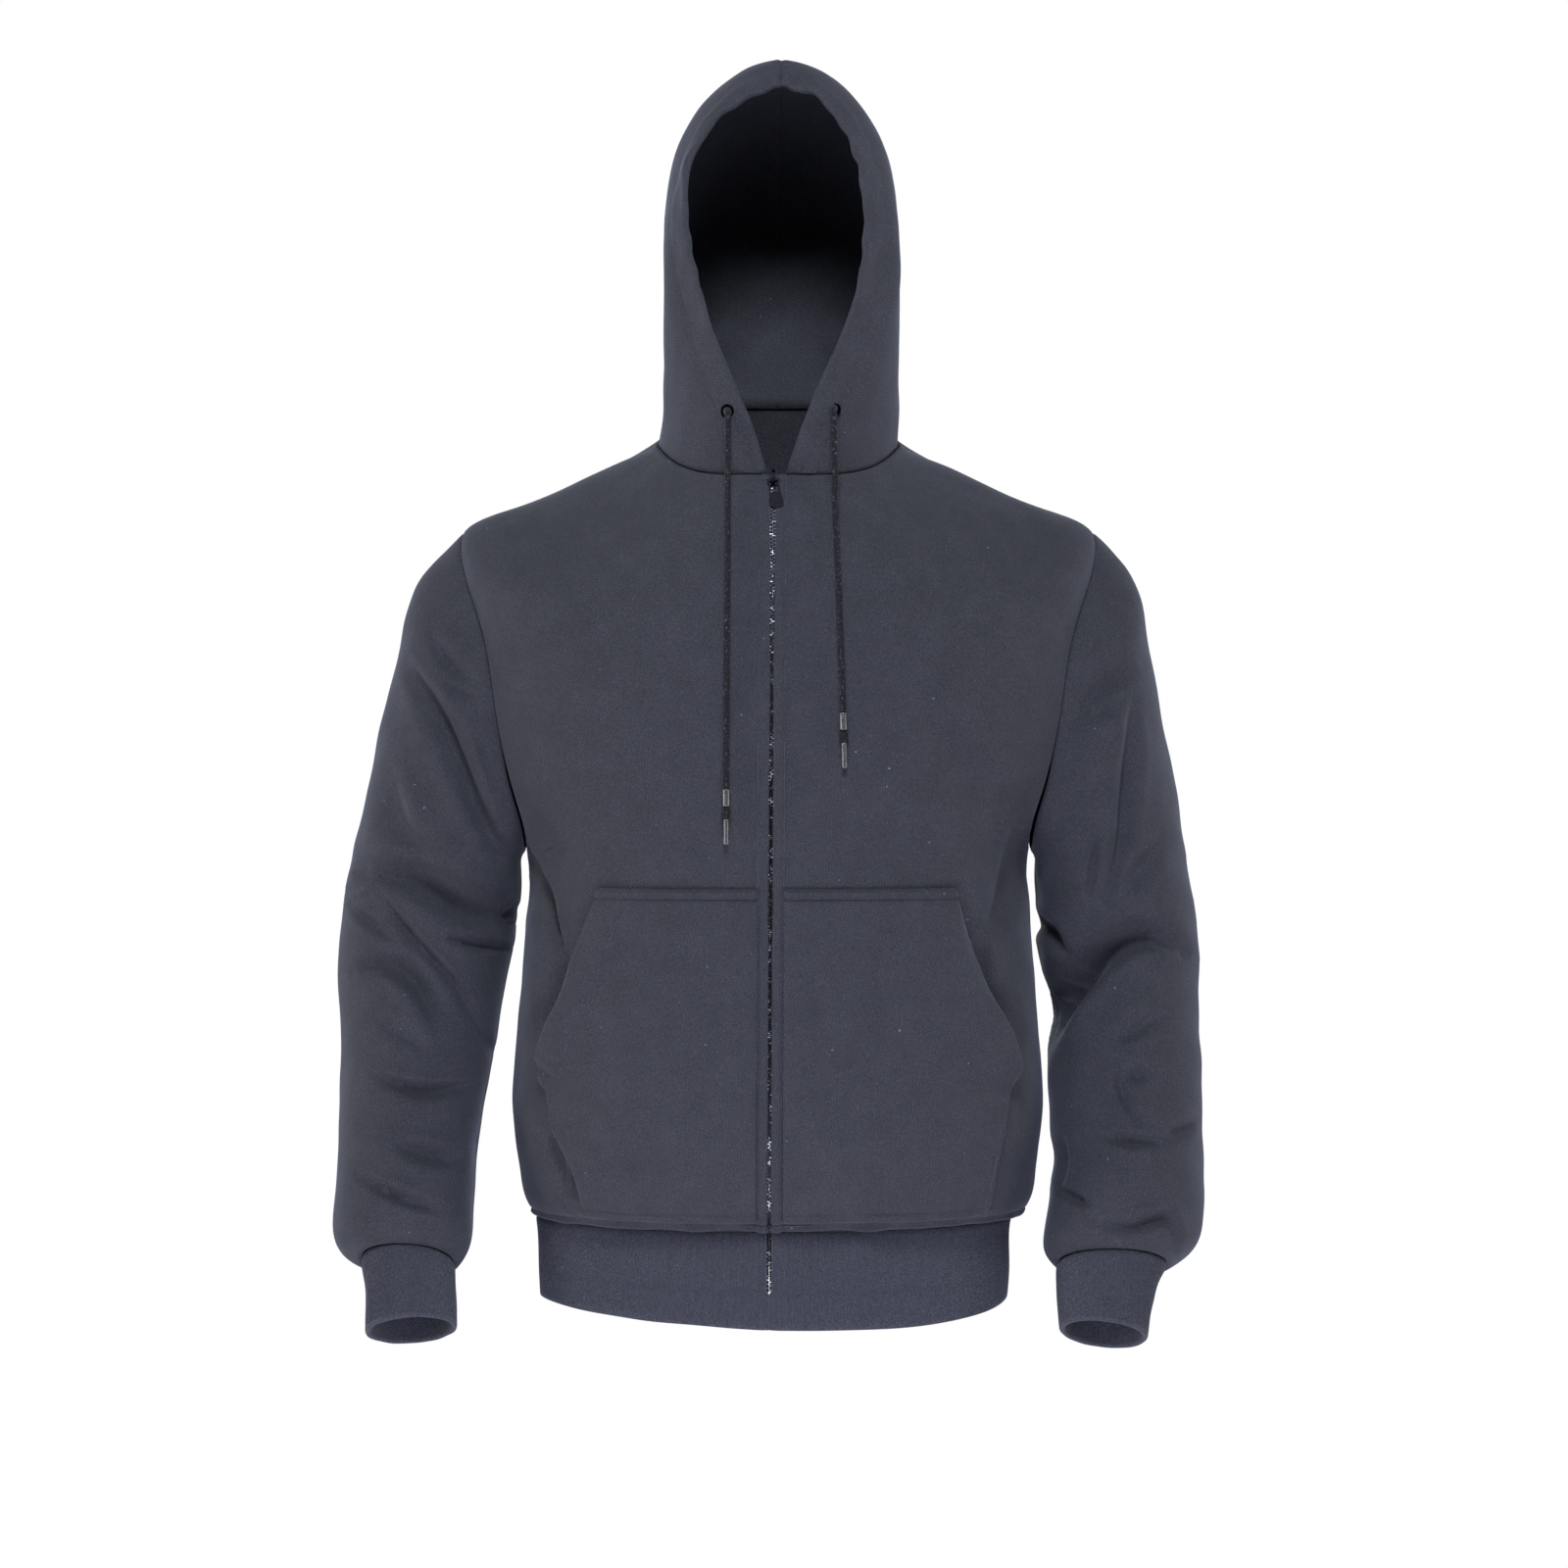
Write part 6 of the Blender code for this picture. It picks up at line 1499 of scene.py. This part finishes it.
def area_light(name, place, target, size, power, tint):
    light = bpy.data.lights.new(name, "AREA")
    light.shape = "RECTANGLE"
    light.size, light.size_y = size
    light.energy = power
    light.color = tint
    way = Vector(target) - Vector(place)
    placed(name, light, place).rotation_euler = way.to_track_quat("-Z", "Y").to_euler()


def make_studio():
    floor_mesh = bmesh.new()
    bmesh.ops.create_circle(floor_mesh, cap_ends=True, segments=FLOOR_SIDES, radius=FLOOR_RADIUS)
    mesh = bpy.data.meshes.new("floor")
    floor_mesh.to_mesh(mesh)
    floor_mesh.free()
    mesh.materials.append(make_textile("pale_floor"))
    placed("floor", mesh, (0, 0, FLOOR_HEIGHT))
    for light in LIGHTS:
        area_light(*light)
    world = bpy.data.worlds.new("white")
    world.use_nodes = True
    tree = world.node_tree
    tree.nodes.clear()
    seen, lit = tree.nodes.new("ShaderNodeBackground"), tree.nodes.new("ShaderNodeBackground")
    seen.inputs["Color"].default_value = (1, 1, 1, 1)
    lit.inputs["Color"].default_value = WORLD_TINT
    lit.inputs["Strength"].default_value = WORLD_STRENGTH
    path, mix = tree.nodes.new("ShaderNodeLightPath"), tree.nodes.new("ShaderNodeMixShader")
    out = tree.nodes.new("ShaderNodeOutputWorld")
    tree.links.new(path.outputs["Is Camera Ray"], mix.inputs[0])
    tree.links.new(lit.outputs[0], mix.inputs[1])
    tree.links.new(seen.outputs[0], mix.inputs[2])
    tree.links.new(mix.outputs[0], out.inputs["Surface"])
    bpy.context.scene.world = world
    bpy.context.scene.view_settings.view_transform = "Standard"


def make_camera():
    lens = bpy.data.cameras.new("camera")
    lens.lens, lens.sensor_width = CAMERA_LENS, SENSOR
    made = placed("camera", lens, CAMERA_PLACE)
    made.rotation_euler = (math.pi / 2, 0, 0)
    bpy.context.scene.camera = made


# ---- the dressed garment ----
def main():
    make_camera()
    textiles = "fleece_cloth", "rib_knit", "cord_braid", "zip_tape_weave"
    fleece, ribbing, braid, tape = (make_textile(name) for name in textiles)
    teeth, steel, black = (make_metal(name) for name in METALS)
    made = {"back": make_back(fleece), "hem": make_hem(ribbing)}
    make_teeth(teeth)
    for side in SIDES:
        cord, line = make_cord(side, braid)
        ends = make_cord_end(side, steel, braid)
        made["front_" + side] = make_front(side, fleece)
        made["pocket_" + side] = make_pocket(side, fleece)
        made["sleeve_" + side] = make_sleeve(side, fleece)
        made["cuff_" + side] = make_cuff(side, ribbing)
        made["hood_" + side] = make_hood(side, fleece)
        made["tape_" + side] = make_tape(side, tape)
        make_eyelet(side, black)
    make_stitches(make_textile("sewing_thread"))
    for node in ("zip_slider", "zip_pull_tab"):
        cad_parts[node].data.materials[0] = black
    make_studio()


main()
